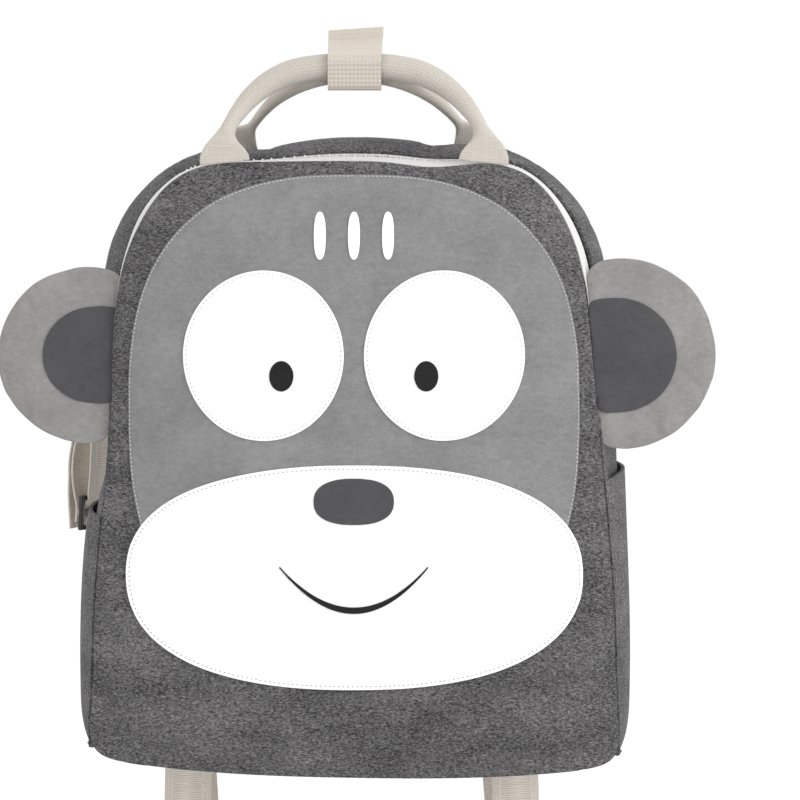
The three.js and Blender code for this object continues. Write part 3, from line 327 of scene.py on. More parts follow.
def make_piece(bm, name, material, nodes=(), smooth=True):
    mesh = bpy.data.meshes.new(name)
    bm.to_mesh(mesh)
    bm.free()
    mesh.materials.append(material)
    piece = bpy.data.objects.new(name, mesh)
    scene.collection.objects.link(piece)
    if smooth:
        mesh.shade_smooth()
    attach(piece, "root")
    if nodes:
        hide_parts(*nodes)
    return piece


def add_modifier(piece, kind, **settings):
    modifier = piece.modifiers.new(kind.lower(), kind)
    for name, value in settings.items():
        setattr(modifier, name, value)
    return modifier


def rounder(piece, levels):
    add_modifier(piece, "SUBSURF", levels=levels, render_levels=levels, boundary_smooth="PRESERVE_CORNERS")


def settle(piece):
    bpy.context.view_layer.update()
    graph = bpy.context.evaluated_depsgraph_get()
    mesh = bpy.data.meshes.new_from_object(piece.evaluated_get(graph))
    piece.modifiers.clear()
    piece.data = mesh
    mesh.shade_smooth()


def open_edge_points(mesh):
    bm = bmesh.new()
    bm.from_mesh(mesh)
    points = sorted({v.index for edge in bm.edges if edge.is_boundary for v in edge.verts})
    bm.free()
    return points


def round_edges(piece, width, segments, degrees):
    limit = math.radians(degrees)
    add_modifier(piece, "BEVEL", width=width, segments=segments, limit_method="ANGLE", angle_limit=limit)


def thicken(piece, thickness, lip):
    add_modifier(piece, "SOLIDIFY", thickness=thickness, offset=-1, use_even_offset=True)
    round_edges(piece, lip, 2, 55)


def bridge(bm, first, second):
    members = set(first), set(second)
    edges = [e for v in first + second for e in v.link_edges if any(set(e.verts) <= m for m in members)]
    bmesh.ops.bridge_loops(bm, edges=list(dict.fromkeys(edges)))


def face_towards(bm, way):
    bmesh.ops.recalc_face_normals(bm, faces=bm.faces)
    if sum(face.normal.dot(way) for face in bm.faces) < 0:
        bmesh.ops.reverse_faces(bm, faces=bm.faces)


def surface_of(mesh):
    bm = bmesh.new()
    bm.from_mesh(mesh)
    surface = BVHTree.FromBMesh(bm)
    bm.free()
    return surface


def distances(points, targets):
    tree = KDTree(len(targets))
    for i, target in enumerate(targets):
        tree.insert(target, i)
    tree.balance()
    return [tree.find(point)[2] for point in points]


# %% [markdown]
# ## Following a strap
# A strap, handle or pad in the frame is a tube of rings, one after another. Walking over the merged
# corners from one end finds the rings in order, and each ring gives its middle, its width and its depth.
# A smooth curve through them then carries as many new rings as the cloth needs, with a map in metres for
# its weave.

# %% Helpers for straps
def walk(node, count, key):
    bm = bmesh.new()
    bm.from_mesh(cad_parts[node].data)
    bmesh.ops.remove_doubles(bm, verts=bm.verts, dist=0.01 * MM)
    nearest = sorted(bm.verts, key=lambda vertex: key(vertex.co))
    hubs = [vertex for vertex in nearest if len(vertex.link_edges) == count > 6]
    ring = {edge.other_vert(hubs[0]) for edge in hubs[0].link_edges} if hubs else set(nearest[:count])
    seen = set(ring)
    seen |= {v for v in bm.verts if all(edge.other_vert(v) in ring for edge in v.link_edges)}
    rings = []
    while len(ring) >= count:
        rings.append([vertex.co.copy() for vertex in ring])
        ring = {edge.other_vert(v) for v in ring for edge in v.link_edges} - seen
        seen |= ring
    bm.free()
    return rings


def station(ring, deep=None):
    middle = sum(ring, Vector()) / len(ring)
    spread = np.array([list(point - middle) for point in ring])
    axes = [Vector(row) for row in np.linalg.svd(spread)[2]]
    if deep is not None:
        axes = [axes[2].cross(deep).normalized(), deep]
    wide, thin = [axis * max(abs((point - middle).dot(axis)) for point in ring) for axis in axes[:2]]
    return [middle, wide, thin]


def stations_of(node, count, key, deep=None):
    found = []
    for ring in walk(node, count, key):
        here = station(ring, deep)
        if found:
            for i in (1, 2):
                if here[i].dot(found[-1][i]) < 0:
                    here[i] = -here[i]
        found.append(here)
    return found


def between(a, b, c, d, t):
    return 0.5 * (2 * b + (c - a) * t + (2 * a - 5 * b + 4 * c - d) * t**2 + (3 * b - a - 3 * c + d) * t**3)


def refine(stations, steps):
    fine = []
    last = len(stations) - 1
    for i in range(last):
        around = [stations[min(max(i + j, 0), last)] for j in (-1, 0, 1, 2)]
        for k in range(steps):
            fine.append([between(*(s[part] for s in around), k / steps) for part in range(3)])
    return fine + [stations[-1]]


def section(power, sides):
    points = []
    for i in range(sides):
        angle = 2 * math.pi * (i + 0.5) / sides
        across, deep = math.cos(angle), math.sin(angle)
        points.append([math.copysign(abs(value) ** (2 / power), value) for value in (across, deep)])
    return points


def loft(stations, power, sides):
    bm = bmesh.new()
    chart = bm.loops.layers.uv.new("UVMap")
    rings = []
    along = 0.0
    place = {}
    for number, (middle, wide, thin) in enumerate(stations):
        ring = bmesh.ops.create_circle(bm, segments=sides, radius=1)["verts"]
        if number:
            along += (middle - stations[number - 1][0]).length
        around = 2 * wide.length + 2 * thin.length
        outline = section(power(wide.length / thin.length) if callable(power) else power, sides)
        for i, (vertex, (a, b)) in enumerate(zip(ring, outline)):
            vertex.co = middle + wide * a + thin * b
            place[vertex] = (i, around, along)
        rings.append(ring)
    for first, second in zip(rings, rings[1:]):
        bridge(bm, first, second)
    for ring in (rings[0], rings[-1]):
        bmesh.ops.contextual_create(bm, geom=ring)
    for face in bm.faces:
        numbers = [place[loop.vert][0] for loop in face.loops]
        wraps = len(face.verts) == 4 and max(numbers) - min(numbers) > sides / 2
        for loop in face.loops:
            i, around, along = place[loop.vert]
            if wraps and i < sides / 2:
                i += sides
            loop[chart].uv = (i / sides * around, along)
    bmesh.ops.recalc_face_normals(bm, faces=bm.faces)
    return bm


# %% [markdown]
# ## Letting cloth relax
# Sewn cloth is never as even as a drawing of it. A short cloth simulation with a little air behind the
# sheet and a little too much cloth between its seams makes the folds that a hand would otherwise have to
# sculpt. The seams are held, gravity is left out, and no point may wander further than a cap.


# %% Cloth
FRAMES = 16


def relax(piece, held, pressure, slack, cap, stiffness=8.0, bending=0.5):
    mesh = piece.data
    before = [vertex.co.copy() for vertex in mesh.vertices]
    group = piece.vertex_groups.new(name="held")
    group.add(held, 1.0, "REPLACE")
    cloth = piece.modifiers.new("cloth", "CLOTH")
    settings = cloth.settings
    settings.effector_weights.gravity = 0
    settings.vertex_group_mass = "held"
    settings.use_pressure = True
    settings.uniform_pressure_force = pressure
    settings.shrink_min = -slack
    settings.tension_stiffness = stiffness
    settings.compression_stiffness = stiffness
    settings.shear_stiffness = stiffness / 2
    settings.bending_stiffness = bending
    settings.quality = 6
    cloth.collision_settings.use_collision = False
    cloth.point_cache.frame_end = FRAMES
    for number in range(1, FRAMES + 1):
        scene.frame_set(number)
    graph = bpy.context.evaluated_depsgraph_get()
    moved = piece.evaluated_get(graph).to_mesh()
    most = 0.0
    for vertex, old, new in zip(mesh.vertices, before, moved.vertices):
        step = new.co - old
        if step.length > cap:
            step *= cap / step.length
        most = max(most, step.length)
        vertex.co = old + step
    piece.evaluated_get(graph).to_mesh_clear()
    piece.modifiers.remove(cloth)
    piece.vertex_groups.clear()
    scene.frame_set(1)
    mesh.update()
    return most


# %% [markdown]
# ## How this bag hangs
# The frame is even on both sides, and a real soft bag isn't. Between the handles the top edge dips, the
# base hangs a little lower on the right, and under the left ear the side is drawn in. One function bends
# every piece of the body alike, so that seams stay together. Each dent is a row: how deep in millimetres,
# where, and how wide.


# %% Slump
def bell(value, middle, width):
    return math.exp(-(((value - middle) / width) ** 2))


def ease(value, low, high):
    share = min(max((value - low) / (high - low), 0), 1)
    return share * share * (3 - 2 * share)


SEAM_DIP = (4.3, 0.04, 0.014)
RIM_DIPS = ((5.0, -0.052, 0.024), (3.0, 0.048, 0.022), (1.0, 0.0, 0.08))
RIM_CORNER = (3.0, 0.098, 0.02)
WAIST = (7.5, -0.183, 0.03)
SHOULDER = (2.9, -0.106, 0.044)
BASE_CORNER = (3.2, -0.324, 0.014)
BASE_DROP, BASE_TILT, HALF_WIDTH = 0.8, 2.0, 0.12


def dent(value, row):
    depth, middle, width = row
    return depth * bell(value, middle, width)


def slump(place):
    x, y, z = place
    behind = ease(y, -0.032, -0.008)
    dip = (1 - behind) * dent(x, SEAM_DIP) + behind * sum(dent(x, row) for row in RIM_DIPS)
    corners = behind * dent(abs(x), RIM_CORNER) * ease(z, -0.12, -0.06)
    base = (1 - ease(z, -0.335, -0.27)) * (BASE_DROP + BASE_TILT * x / HALF_WIDTH)
    waist = dent(z, WAIST) * ease(-x, 0.09, 0.12) * ease(y, -0.055, -0.005)
    shoulder = dent(z, SHOULDER) * ease(-x, 0.07, 0.115) * (1 - behind)
    corner = dent(z, BASE_CORNER) * ease(abs(x), 0.095, 0.122) * (1 - ease(abs(x), 0.131, 0.135))
    drop = dip * ease(z, -0.075, -0.034) + corners + base
    return Vector((x + (waist - shoulder + math.copysign(corner, x)) * MM, y, z - drop * MM))


def slumped(bm):
    for vertex in bm.verts:
        vertex.co = slump(vertex.co)
    return bm


print("the top dips to", round(slump(Vector((0.04, -0.028, -0.0348))).z / MM, 1), "mm")

# %% [markdown]
# ## The front panel
# The front is one piece of marl, stuffed from inside so that it crowns, and sewn all round. Only its
# outer face is kept, made smooth, and let relax between the held seams.

# %% Front panel
WALL = 2.4 * MM
LIP = 0.8 * MM
MIDDLE = Vector((0, 0, -0.198))


def faces_front(face):
    return face.normal.y < -0.5


def faces_back(face):
    return face.normal.y > 0.5


def faces_out(face):
    place = face.calc_center_median() - MIDDLE
    place.y = 0
    return face.normal.dot(place.normalized()) > 0.35


def cloth_panel(name, material, test, levels=2, shaping=None):
    bm = slumped(keep_faces(merged_copy(name), test))
    if shaping:
        shaping(bm)
    piece = make_piece(bm, name + "_cloth", material, [name])
    rounder(piece, levels)
    settle(piece)
    return piece


front = cloth_panel("front_panel", MARL, faces_front)
SEAM = [front.data.vertices[i].co.copy() for i in open_edge_points(front.data)]
moved = relax(front, open_edge_points(front.data), 1.2, 0.02, 4 * MM)
print("front panel:", len(front.data.vertices), "points, relaxed by", round(moved / MM, 2), "mm")


# %% Press the front flat under its patches
shape = bmesh.new()
shape.from_mesh(front.data)
near = distances([vertex.co for vertex in shape.verts], SEAM)
ALL_WAYS = {"use_axis_x": True, "use_axis_y": True, "use_axis_z": True}
for reach, rounds in ((5 * MM, 5), (14 * MM, 10), (22 * MM, 12)):
    inner = [vertex for vertex, distance in zip(shape.verts, near) if distance > reach]
    for _ in range(rounds):
        bmesh.ops.smooth_vert(shape, verts=inner, factor=0.5, **ALL_WAYS)
    print("pressed", len(inner), "points further in than", round(reach / MM), "mm")
shape.to_mesh(front.data)
shape.free()

# %% [markdown]
# ### The seam as a guide
# Patches, ears, pockets and the zip are all sewn to the front or along its seam. Looking straight at the
# front finds the spot for a patch, and the nearest seam point draws the other pieces in.

# %% Front as a surface to sew on
FRONT_FACE = surface_of(front.data)
LOOK_FROM, LOOK_ALONG = -0.3, Vector((0, 1, 0))


def on_front(x, z, lift):
    spot, normal, _, _ = FRONT_FACE.ray_cast(Vector((x, LOOK_FROM, z)), LOOK_ALONG)
    if normal.y > 0:
        normal = -normal
    return spot + normal * lift, normal


def seam_near(side, z):
    return min((point for point in SEAM if point.x * side > 0), key=lambda point: abs(point.z - z))


SEAM_FLAT = KDTree(len(SEAM))
for index, point in enumerate(SEAM):
    SEAM_FLAT.insert(Vector((point.x, 0, point.z)), index)
SEAM_FLAT.balance()


def seam_under(place):
    return SEAM[SEAM_FLAT.find(Vector((place.x, 0, place.z)))[1]]


# The zip lies in a groove behind the seam: a share of the way in, more on the left and less on the right.
GROOVE, GROOVE_LEFT, GROOVE_RIGHT = 0.3, 0.5, 0.22


def grooved(place):
    seam = seam_under(place)
    left = ease(-place.x, 0.05, 0.09) * (GROOVE_LEFT - 0.65 * bell(place.z, -0.052, 0.022))
    tight = GROOVE + left - GROOVE_RIGHT * ease(place.x, 0.05, 0.1)
    tight *= ease(place.z, -0.15, -0.11)
    share = 1 - tight * (1 - ease(place.y - seam.y, 0.015, 0.036))
    return Vector((seam.x + (place.x - seam.x) * share, place.y, seam.z + (place.z - seam.z) * share))


def sunk(place):
    seam = seam_under(place)
    return place.lerp(Vector((seam.x, place.y, seam.z)), 0.2 + 0.65 * ease(abs(place.x), 0.05, 0.08))


thicken(front, WALL, LIP)
print("front seam:", len(SEAM), "points")

# %% [markdown]
# ## Back panel and boxing
# The back panel and the two lengths of the boxing are made the same way as the front. The rim behind the
# zip hangs forward over the teeth a little, more at the sides than between the handles.

# %% Back panel and boxing
back = cloth_panel("back_panel", MARL, faces_back)
moved = relax(back, open_edge_points(back.data), 0.6, 0.015, 2.5 * MM)
thicken(back, WALL, LIP)
print("back panel relaxed by", round(moved / MM, 2), "mm")

RIM_REACH = 11 * MM
RIM_FORWARD = (2.0 * MM, 4.0 * MM)
RIM_INWARD = {"left": 0.35, "right": 0.12}
RIM_LIFT = 1.2 * MM
RIM_END_DROP = 1.3 * MM
BOXING = (("lower_gusset", 0.01, (0.09, 0.64)), ("upper_gusset", 0.03, (0.055, 0.5)))


def overhang(piece, reach):
    mesh = piece.data
    edge = [mesh.vertices[i].co.copy() for i in open_edge_points(mesh) if mesh.vertices[i].co.y < 0.005]
    for vertex, distance in zip(mesh.vertices, distances([vertex.co for vertex in mesh.vertices], edge)):
        share = max(0, 1 - distance / reach) ** 2
        side = ease(abs(vertex.co.x), 0.045, 0.09)
        seam = seam_under(vertex.co)
        pull = RIM_INWARD["left" if vertex.co.x < 0 else "right"]
        inward = Vector((seam.x - vertex.co.x, 0, seam.z - vertex.co.z)) * pull * side
        forward = Vector((0, -(RIM_FORWARD[0] + RIM_FORWARD[1] * side), 0))
        vertex.co += (vertex.normal * RIM_LIFT * (1 - side) + forward + inward) * share


for node, slack, flat in BOXING:
    piece = cloth_panel(node, MARL, faces_out)
    if node == "upper_gusset":
        for vertex in piece.data.vertices:
            vertex.co = grooved(vertex.co)
            vertex.co.z -= RIM_END_DROP * (1 - ease(vertex.co.z, -0.1525, -0.143))
        overhang(piece, RIM_REACH)
    moved = relax(piece, open_edge_points(piece.data), 0.5, slack, 1.5 * MM)
    thicken(piece, WALL, LIP)
    print(node, "relaxed by", round(moved / MM, 2), "mm")

# %% [markdown]
# ## Side pockets
# A pocket is a sheet that bulges off the side. Its front edge is sewn into the seam of the front panel,
# so those corners are drawn to the seam before the sheet is made smooth.


# %% Side pockets
POCKET_SEWN = 6 * MM
POCKET_OUT, POCKET_BACK = 1.3 * MM, 2.5 * MM


def sew_to_seam(bm):
    for vertex in bm.verts:
        seam = seam_under(vertex.co)
        if vertex.co.y - seam.y < POCKET_SEWN:
            outward = Vector((vertex.co.x - seam.x, 0, vertex.co.z - seam.z)).normalized()
            vertex.co = seam + outward * POCKET_OUT + Vector((0, POCKET_BACK, 0))


for side in ("left", "right"):
    pocket = cloth_panel("side_pocket_" + side, MARL, faces_out, shaping=sew_to_seam)
    thicken(pocket, 1.8 * MM, 0.7 * MM)
    print("pocket", side, len(pocket.data.vertices), "points")

# %% [markdown]
# ## Ears
# Each ear is two rounds of canvas sewn together and turned, thin but soft, with a dark round lining. Its
# root is drawn to the seam of the front panel and pinched flat there. A little air rounds it while its
# edge stays held.

# %% Helpers for the ears
EAR_ROOT = 4.6 * MM
EAR_SEAM_GAP = 0.4 * MM
EAR_PINCHED = 18 * MM
EAR_BEHIND = 6.4 * MM
EAR_FORWARD = 3.0 * MM
EAR_START = 0.12
EAR_MIDDLE = -0.1338
# Wider by, taller by, and raised by this many millimetres.
EAR_SIZES = {"left": (1.0, 0.97, 1.3), "right": (1.042, 1.05, 2.0)}
LINING_SIZES = {"left": (0.875, 0.815, 1.75), "right": (1.005, 0.965, 1.5)}
LINING_LIFT = 0.75 * MM


def root_share(distance):
    return 1 - ease(distance, EAR_ROOT, EAR_PINCHED)


def draw_ear_in(bm, sizes):
    across, tall, lift = sizes
    for vertex in bm.verts:
        side = 1 if vertex.co.x > 0 else -1
        vertex.co.x = side * (EAR_START + (abs(vertex.co.x) - EAR_START) * across)
        vertex.co.z = EAR_MIDDLE + (vertex.co.z - EAR_MIDDLE) * tall + lift * MM
        seam = seam_near(side, vertex.co.z)
        share = root_share(abs(vertex.co.x) - abs(seam.x))
        middle = seam.y + EAR_BEHIND
        vertex.co.x -= side * (EAR_ROOT - EAR_SEAM_GAP) * share
        vertex.co.y = middle + (vertex.co.y - middle) * (1 - 0.55 * share) - EAR_FORWARD * share
    return bm


def puff_ear(ear):
    mesh = ear.data
    held = []
    for vertex in mesh.vertices:
        seam = seam_near(1 if vertex.co.x > 0 else -1, vertex.co.z)
        out = abs(vertex.co.x) - abs(seam.x)
        middle = seam.y + EAR_BEHIND - EAR_FORWARD * root_share(out + EAR_ROOT)
        if out < 4 * MM or abs(vertex.co.y - middle) < 1.02 * MM:
            held.append(vertex.index)
    return relax(ear, held, 2.5, 0.025, 2 * MM)


def crumple(mesh, depth, size, seed):
    for vertex in mesh.vertices:
        wave = noise.fractal(vertex.co * size + Vector((seed, seed, 0)), 0.7, 2.1, 3)
        vertex.co += vertex.normal * depth * wave


# %% Ears
for number, side in enumerate(("left", "right")):
    node = "ear_" + side
    bm = draw_ear_in(merged_copy(node), EAR_SIZES[side])
    ear = make_piece(bm, node + "_cloth", EAR_CANVAS, [node])
    rounder(ear, 2)
    settle(ear)
    moved = puff_ear(ear)
    crumple(ear.data, 0.55 * MM, 55, 3.7 + number)
    rounder(ear, 1)
    surface = surface_of(ear.data)
    node = "ear_inner_" + side
    bm = draw_ear_in(keep_faces(merged_copy(node), faces_front), LINING_SIZES[side])
    lining = make_piece(bm, node + "_cloth", DARK_CANVAS, [node])
    rounder(lining, 3)
    settle(lining)
    for vertex in lining.data.vertices:
        spot = surface.ray_cast(Vector((vertex.co.x, LOOK_FROM, vertex.co.z)), LOOK_ALONG)[0]
        if spot is not None:
            vertex.co.y = spot.y - LINING_LIFT
    thicken(lining, 0.6 * MM, 0.25 * MM)
    print("ear", side, "puffed by", round(moved / MM, 2), "mm")

# %% [markdown]
# ## Threads
# A row of stitches is one little rounded thread, set down again and again along a line on the cloth.

# %% Stitches
def bead(bm, spot, half_axes, around, tall):
    turn = Matrix(half_axes).transposed().to_4x4()
    turn.translation = spot
    turn = turn @ Matrix.Rotation(math.pi / 2, 4, "Y")
    bmesh.ops.create_uvsphere(bm, u_segments=around, v_segments=tall, radius=1, matrix=turn)


def stitches(name, spots, length, thickness, material):
    bm = bmesh.new()
    for spot, along, normal in spots:
        side = normal.cross(along).normalized()
        bead(bm, spot, (along * length / 2, side * thickness / 2, normal * thickness / 2), 6, 4)
    bmesh.ops.recalc_face_normals(bm, faces=bm.faces)
    return make_piece(bm, name, material)


def evenly(points, pitch):
    closed = points + [points[0]]
    lengths = [(b - a).length for a, b in zip(closed, closed[1:])]
    count = max(3, round(sum(lengths) / pitch))
    step = sum(lengths) / count
    spots = []
    travelled, target = 0.0, 0.0
    for a, b, length in zip(closed, closed[1:], lengths):
        while target <= travelled + length and len(spots) < count:
            spots.append(a.lerp(b, (target - travelled) / length))
            target += step
        travelled += length
    return spots


# %% [markdown]
# ## The face
# The face is a plain friendly animal: a grey head, white rounds for the eyes and the muzzle, three short
# stripes on the forehead. Each patch is a disc of rings that takes a rounded outline, is laid on the
# relaxed front by looking straight at it, and is given the thickness of a canvas.

# %% Helpers for the face
PATCH = 0.65 * MM
PATCH_GAP = 0.12 * MM
FRONTWARDS = Vector((0, -1, 0))
PATCH_RINGS = (0.06, 0.2, 0.34, 0.48, 0.6, 0.7, 0.79, 0.87, 0.93, 0.97, 1.0)


def rounded(width, height, power, turn):
    across, up = math.cos(turn), math.sin(turn)
    x = math.copysign(abs(across) ** (2 / power), across) * width / 2
    z = math.copysign(abs(up) ** (2 / power), up) * height / 2
    return Vector((x, 0, z))


def patch_lift(layer):
    return 0.4 * MM + layer * (PATCH + PATCH_GAP)


def patch(node, material, power, layer, sides, rings=PATCH_RINGS):
    low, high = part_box(node)
    middle = (low + high) / 2
    width, height = high.x - low.x, high.z - low.z
    bm = bmesh.new()
    loops = []
    for share in rings:
        ring = bmesh.ops.create_circle(bm, segments=sides, radius=1)["verts"]
        for i, vertex in enumerate(ring):
            spot = middle + rounded(width, height, power, 2 * math.pi * (i + 0.5) / sides) * share
            vertex.co = on_front(spot.x, spot.z, patch_lift(layer) + PATCH)[0]
        if loops:
            bridge(bm, loops[-1], ring)
        loops.append(ring)
    bmesh.ops.contextual_create(bm, geom=loops[0])
    face_towards(bm, FRONTWARDS)
    flat = sum(face.calc_area() for face in bm.faces)
    piece = make_piece(bm, node + "_cloth", material, [node])
    thicken(piece, PATCH, 0.25 * MM)
    return middle, width, height


def patch_seam(node, patch_size, power, layer, material, slot, inset, pitch, length, thickness):
    middle, width, height = patch_size
    width, height = width - 2 * inset, height - 2 * inset
    outline = [middle + rounded(width, height, power, math.pi * i / 180) for i in range(360)]
    spots = []
    places = evenly(outline, pitch)
    for before, here, after in zip([places[-1]] + places, places, places[1:] + [places[0]]):
        spot, normal = on_front(here.x, here.z, patch_lift(layer) + PATCH + thickness * 0.2)
        along = after - before
        along = (along - normal * along.dot(normal)).normalized()
        spots.append((spot, along, normal))
    return stitches(node + "_stitches", spots, length, thickness, material)


# %% Head, muzzle and eyes
HEAD_ROW = {"inset": 0.9 * MM, "pitch": 2.1 * MM, "length": 1.5 * MM, "thickness": 0.48 * MM}
MUZZLE_ROW = {"inset": 1.8 * MM, "pitch": 2.3 * MM, "length": 0.9 * MM, "thickness": 0.5 * MM}
EYE_ROW = {"inset": 1.6 * MM, "pitch": 2.3 * MM, "length": 0.9 * MM, "thickness": 0.4 * MM}

head = patch("head_patch", HEAD_CANVAS, 2.7, 0, 144)
patch_seam("head_patch", head, 2.7, 0, THREAD, "head_canvas", **HEAD_ROW)
muzzle = patch("muzzle_patch", WHITE_CANVAS, 2.3, 1, 128)
patch_seam("muzzle_patch", muzzle, 2.3, 1, GREY_THREAD, "white_canvas", **MUZZLE_ROW)
for side in ("left", "right"):
    node = "eye_patch_" + side
    eye_patch = patch(node, WHITE_CANVAS, 2, 1, 96)
    patch_seam(node, eye_patch, 2, 1, GREY_THREAD, "white_canvas", **EYE_ROW)
    patch("eye_" + side, BLACK_PRINT, 2, 2, 40, (0.1, 0.4, 0.7, 0.9, 1))
patch("nose", DARK_CANVAS, 2.4, 2, 56, (0.1, 0.35, 0.6, 0.8, 0.92, 1))
for place in ("left", "middle", "right"):
    patch("forehead_stripe_" + place, WHITE_CANVAS, 2.4, 1, 32, (0.2, 0.6, 0.85, 1))
print("head patch:", round(head[1] / MM), "x", round(head[2] / MM), "mm")

# %% Smile
SMILE_LINE = 3.2 * MM
low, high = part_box("smile")
depth = high.z - low.z - SMILE_LINE / 2
bm = bmesh.new()
bmesh.ops.create_grid(bm, x_segments=48, y_segments=2, size=0.5)
for vertex in bm.verts:
    share, edge = vertex.co.x + 0.5, vertex.co.y * 2
    x = low.x + (high.x - low.x) * share
    narrow = math.sin(math.pi * (0.1 + 0.8 * share)) * SMILE_LINE / 2
    z = high.z - SMILE_LINE * 0.3 - depth * (1 - (2 * share - 1) ** 2) + narrow * edge
    vertex.co = on_front(x, z, patch_lift(2) + PATCH)[0]
face_towards(bm, FRONTWARDS)
smile = make_piece(bm, "smile_cloth", BLACK_PRINT, ["smile"])
thicken(smile, PATCH, 0.2 * MM)
print("smile:", round((high.x - low.x) / MM, 1), "mm wide")

# %% [markdown]
# ## Handles and their wrap
# Each handle is a length of webbing, flat where it is sewn in, and rolled round a cord above that. Its
# feet follow the dips of the top edge. The wrap is a folded band that keeps the frame's corners, eased a
# little apart at the top and with its edges rounded.

# %% Handles
WIDE_AXIS = Vector((0, 1, 0))
for node, slope in (("front_handle", 0.2), ("back_handle", 0.11)):
    def left_foot(point):
        return point.z - slope * point.x + (1 if point.x > 0 else 0)

    rings = stations_of(node, 10, left_foot, WIDE_AXIS)
    for ring in rings:
        ring[0] = ring[0].lerp(slump(ring[0]), 1 - ease(ring[0].z, -0.024, 0.0))
    bm = loft(refine(rings, 5), lambda flatness: 2 + 4 * ease(flatness, 1.5, 5), 28)
    piece = make_piece(bm, node + "_webbing", WEBBING, [node])
    print(node, "rings:", len(rings))

# %% Wrap
WRAP_SPREAD = {"left": 0.2 * MM, "right": 1.2 * MM}
WRAP_TILT = 0.9 * MM
WRAP_HALF = 0.0135

bm = merged_copy("handle_wrap")
chart = bm.loops.layers.uv.new("UVMap")
for face in bm.faces:
    upright = abs(face.normal.y) > abs(face.normal.z)
    for loop in face.loops:
        loop[chart].uv = (loop.vert.co.x, loop.vert.co.z if upright else loop.vert.co.y)
for vertex in bm.verts:
    up = ease(vertex.co.z, 0.016, 0.031)
    vertex.co.x += up * WRAP_SPREAD["right" if vertex.co.x > 0 else "left"]
    vertex.co.z += up * WRAP_TILT * vertex.co.x / WRAP_HALF
wrap = make_piece(bm, "handle_wrap_webbing", WRAP_WEBBING, ["handle_wrap"], smooth=False)
round_edges(wrap, 0.5 * MM, 2, 40)
print("wrap:", len(wrap.data.polygons), "faces")

# %% [markdown]
# ## Straps
# Behind the bag are two padded shoulder straps and the webbing that adjusts them. The pads have a row of
# stitches along each edge, and the rings and sliders are plain plastic with rounded edges.

# %% Straps
STRAP_BASES = {"left": Vector((-0.088, 0.044, -0.3208)), "right": Vector((0.083, 0.044, -0.3208))}
PAD_STITCHES = (0.0, 0.14, 0.29, 0.43, 0.57, 0.71, 0.86)
PAD_EDGE, PAD_TOP = 0.8, 0.84


def pad_spots(rings):
    spots = []
    for before, here in zip(rings, rings[1:]):
        along = (here[0] - before[0]).normalized()
        for t in PAD_STITCHES:
            middle, wide, thin = [a.lerp(b, t) for a, b in zip(before, here)]
            thin = thin if thin.y > 0 else -thin
            for edge in (-PAD_EDGE, PAD_EDGE):
                spots.append((middle + wide * edge + thin * PAD_TOP, along, thin.normalized()))
    return spots


for side, base in STRAP_BASES.items():
    node = "strap_webbing_" + side
    rings = stations_of(node, 4, lambda point: (point - base).length)
    path = refine(rings, 4)
    # The strap webbing is the brighter copy, painted light against the shade behind the bag.
    piece = make_piece(loft(path, 7, 20), node + "_cloth", LIT_STRAP_WEBBING, [node])
    node = "shoulder_pad_" + side
    rings = stations_of(node, 8, lambda point: -point.z)
    pad = make_piece(loft(refine(rings, 4), 3.2, 32), node + "_cloth", MARL, [node])
    stitches(node + "_stitches", pad_spots(rings), 1.9 * MM, 0.6 * MM, GREY_THREAD)
    node = "ring_tab_" + side
    tab = make_piece(merged_copy(node), node + "_webbing", PLAIN_WEBBING, [node])
    rounder(tab, 2)
    for node in ("strap_ring_" + side, "strap_slider_" + side):
        bm = merged_copy(node)
        piece = make_piece(bm, node + "_plastic", STRAP_PLASTIC, [node], smooth=False)
        round_edges(piece, 0.6 * MM, 3, 40)

# %% [markdown]
# ### The loose end
# The left strap's spare webbing ends in a folded hem that hangs beside the bag, below the ear. It is
# lofted through five places down its middle, each turned alike.

# %% Hem of the loose end
HEM = ((-0.1443, 0.0739, -0.1855), (-0.1463, 0.0747, -0.1970), (-0.1466, 0.0743, -0.2070),
       (-0.1468, 0.0737, -0.2160), (-0.1459, 0.0724, -0.2335))
HEM_WIDE = Vector((0.00585, 0.01105, 0))
HEM_THIN = Vector((-0.0007, 0.00037, 0))
hem = [[Vector(place), HEM_WIDE.copy(), HEM_THIN.copy()] for place in HEM]
piece = make_piece(loft(refine(hem, 6), 7, 20), "strap_hem_left_cloth", LIT_STRAP_WEBBING)
print("hem:", round((hem[0][0] - hem[-1][0]).length / MM), "mm long")

# %% [markdown]
# ## The zip
# Two white tapes and a nylon coil between them. The coil is a row of small rounded teeth that lock from
# both sides, over a narrow bed of tape. Over the top the front tape is drawn to the seam that it is sewn
# into.

# %% Zip tapes
TAPE_SEWN = 0.006
TAPE_PULL = 0.9
BED_DEPTH = 1.2 * MM

for node in ("zip_tape_front", "zip_tape_back"):
    tape = cloth_panel(node, ZIP_TAPE, faces_out)
    for vertex in tape.data.vertices:
        vertex.co = grooved(vertex.co)
        seam = seam_under(vertex.co)
        sewn = TAPE_PULL * (1 - ease(vertex.co.y - seam.y, 0, TAPE_SEWN)) * ease(vertex.co.z, -0.1, -0.088)
        vertex.co = vertex.co.lerp(seam, sewn)
    thicken(tape, 0.8 * MM, 0.2 * MM)
    print(node, len(tape.data.vertices), "points")

bm = slumped(keep_faces(merged_copy("zip_coil"), faces_out))
face_towards(bm, Vector((0, 0, 1)))
for vertex in bm.verts:
    vertex.co = sunk(grooved(vertex.co - vertex.normal * BED_DEPTH))
bed = make_piece(bm, "zip_bed_cloth", ZIP_TAPE)
rounder(bed, 2)

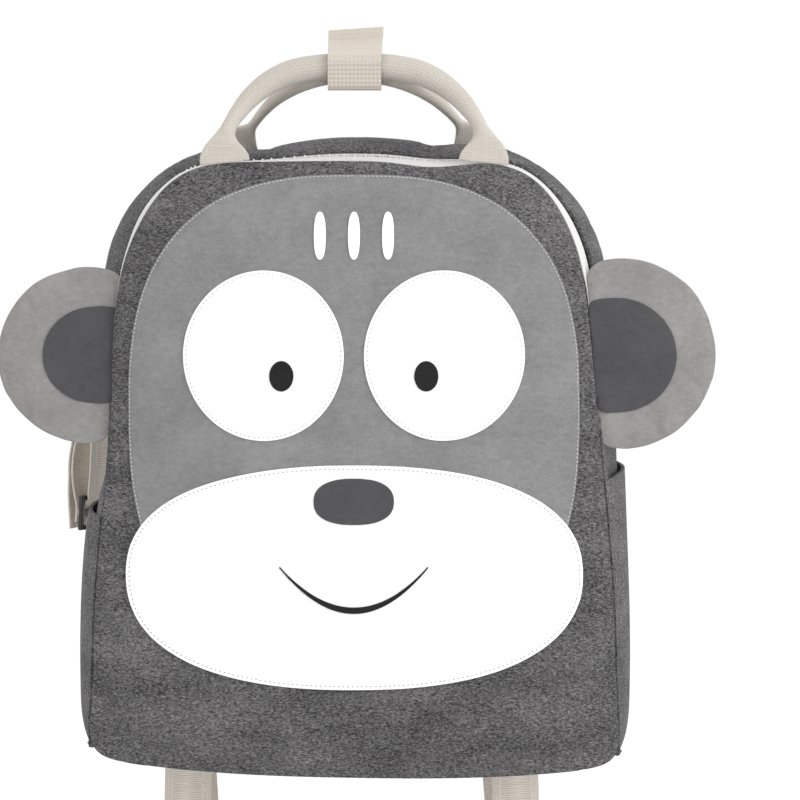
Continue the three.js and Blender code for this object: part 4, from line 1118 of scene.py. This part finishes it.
# %% Zip teeth and slider
coil = refine(stations_of("zip_coil", 6, lambda point: point.z + (1 if point.x > 0 else 0)), 6)
coil = [[sunk(grooved(slump(middle))), wide, thin] for middle, wide, thin in coil]
TOOTH = (2.9 * MM, 1.15 * MM, 1.5 * MM)
TOOTH_PITCH = 1.25 * MM
TOOTH_ASIDE = 0.95 * MM
bm = bmesh.new()
travelled, target, count = 0.0, 0.0, 0
for here, after in zip(coil, coil[1:]):
    travelled += (after[0] - here[0]).length
    if travelled < target:
        continue
    target += TOOTH_PITCH
    count += 1
    along = (after[0] - here[0]).normalized()
    across = here[1].normalized()
    out = along.cross(across)
    spot = here[0] + across * (TOOTH_ASIDE if count % 2 else -TOOTH_ASIDE)
    bead(bm, spot, (across * TOOTH[0] / 2, along * TOOTH[1] / 2, out * TOOTH[2] / 2), 8, 5)
bmesh.ops.recalc_face_normals(bm, faces=bm.faces)
make_piece(bm, "zip_coil_teeth", ZIP_TEETH, ["zip_coil"])
print("zip teeth:", count)

bm = merged_copy("zip_slider")
piece = make_piece(bm, "zip_slider_metal", ZIP_METAL, ["zip_slider"], smooth=False)
round_edges(piece, 0.4 * MM, 3, 40)

# %% [markdown]
# ## Floor and light
# A plain pale floor, an even white sky and one large soft light from the right, as in a product studio.

# %% Floor and lights
FLOOR_SIZE = 60
FLOOR_PLACE = (0, 40, -0.46)
SKY_STRENGTH = 1.2

floor_mesh = bmesh.new()
bmesh.ops.create_grid(floor_mesh, x_segments=1, y_segments=1, size=FLOOR_SIZE)
bmesh.ops.translate(floor_mesh, verts=floor_mesh.verts, vec=FLOOR_PLACE)
mesh = bpy.data.meshes.new("floor")
floor_mesh.to_mesh(mesh)
floor_mesh.free()
FLOOR, _ = start_material("pale_floor", (0.825, 0.825, 0.825), 0.9)
mesh.materials.append(FLOOR)
floor = bpy.data.objects.new("floor", mesh)
scene.collection.objects.link(floor)

world = bpy.data.worlds.new("studio")
world.use_nodes = True
world.node_tree.nodes["Background"].inputs["Color"].default_value = (1, 1, 1, 1)
world.node_tree.nodes["Background"].inputs["Strength"].default_value = SKY_STRENGTH
scene.world = world


def soft_light(name, place, aim, size, power):
    data = bpy.data.lights.new(name, "AREA")
    data.size = size
    data.energy = power
    light = bpy.data.objects.new(name, data)
    light.location = place
    light.rotation_euler = (Vector(aim) - Vector(place)).to_track_quat("-Z", "Y").to_euler()
    scene.collection.objects.link(light)


soft_light("key_light", (1.9, -1.35, 0.9), (0, 0, -0.15), 1.2, 24)
print("floor at", FLOOR_PLACE[2], "m")
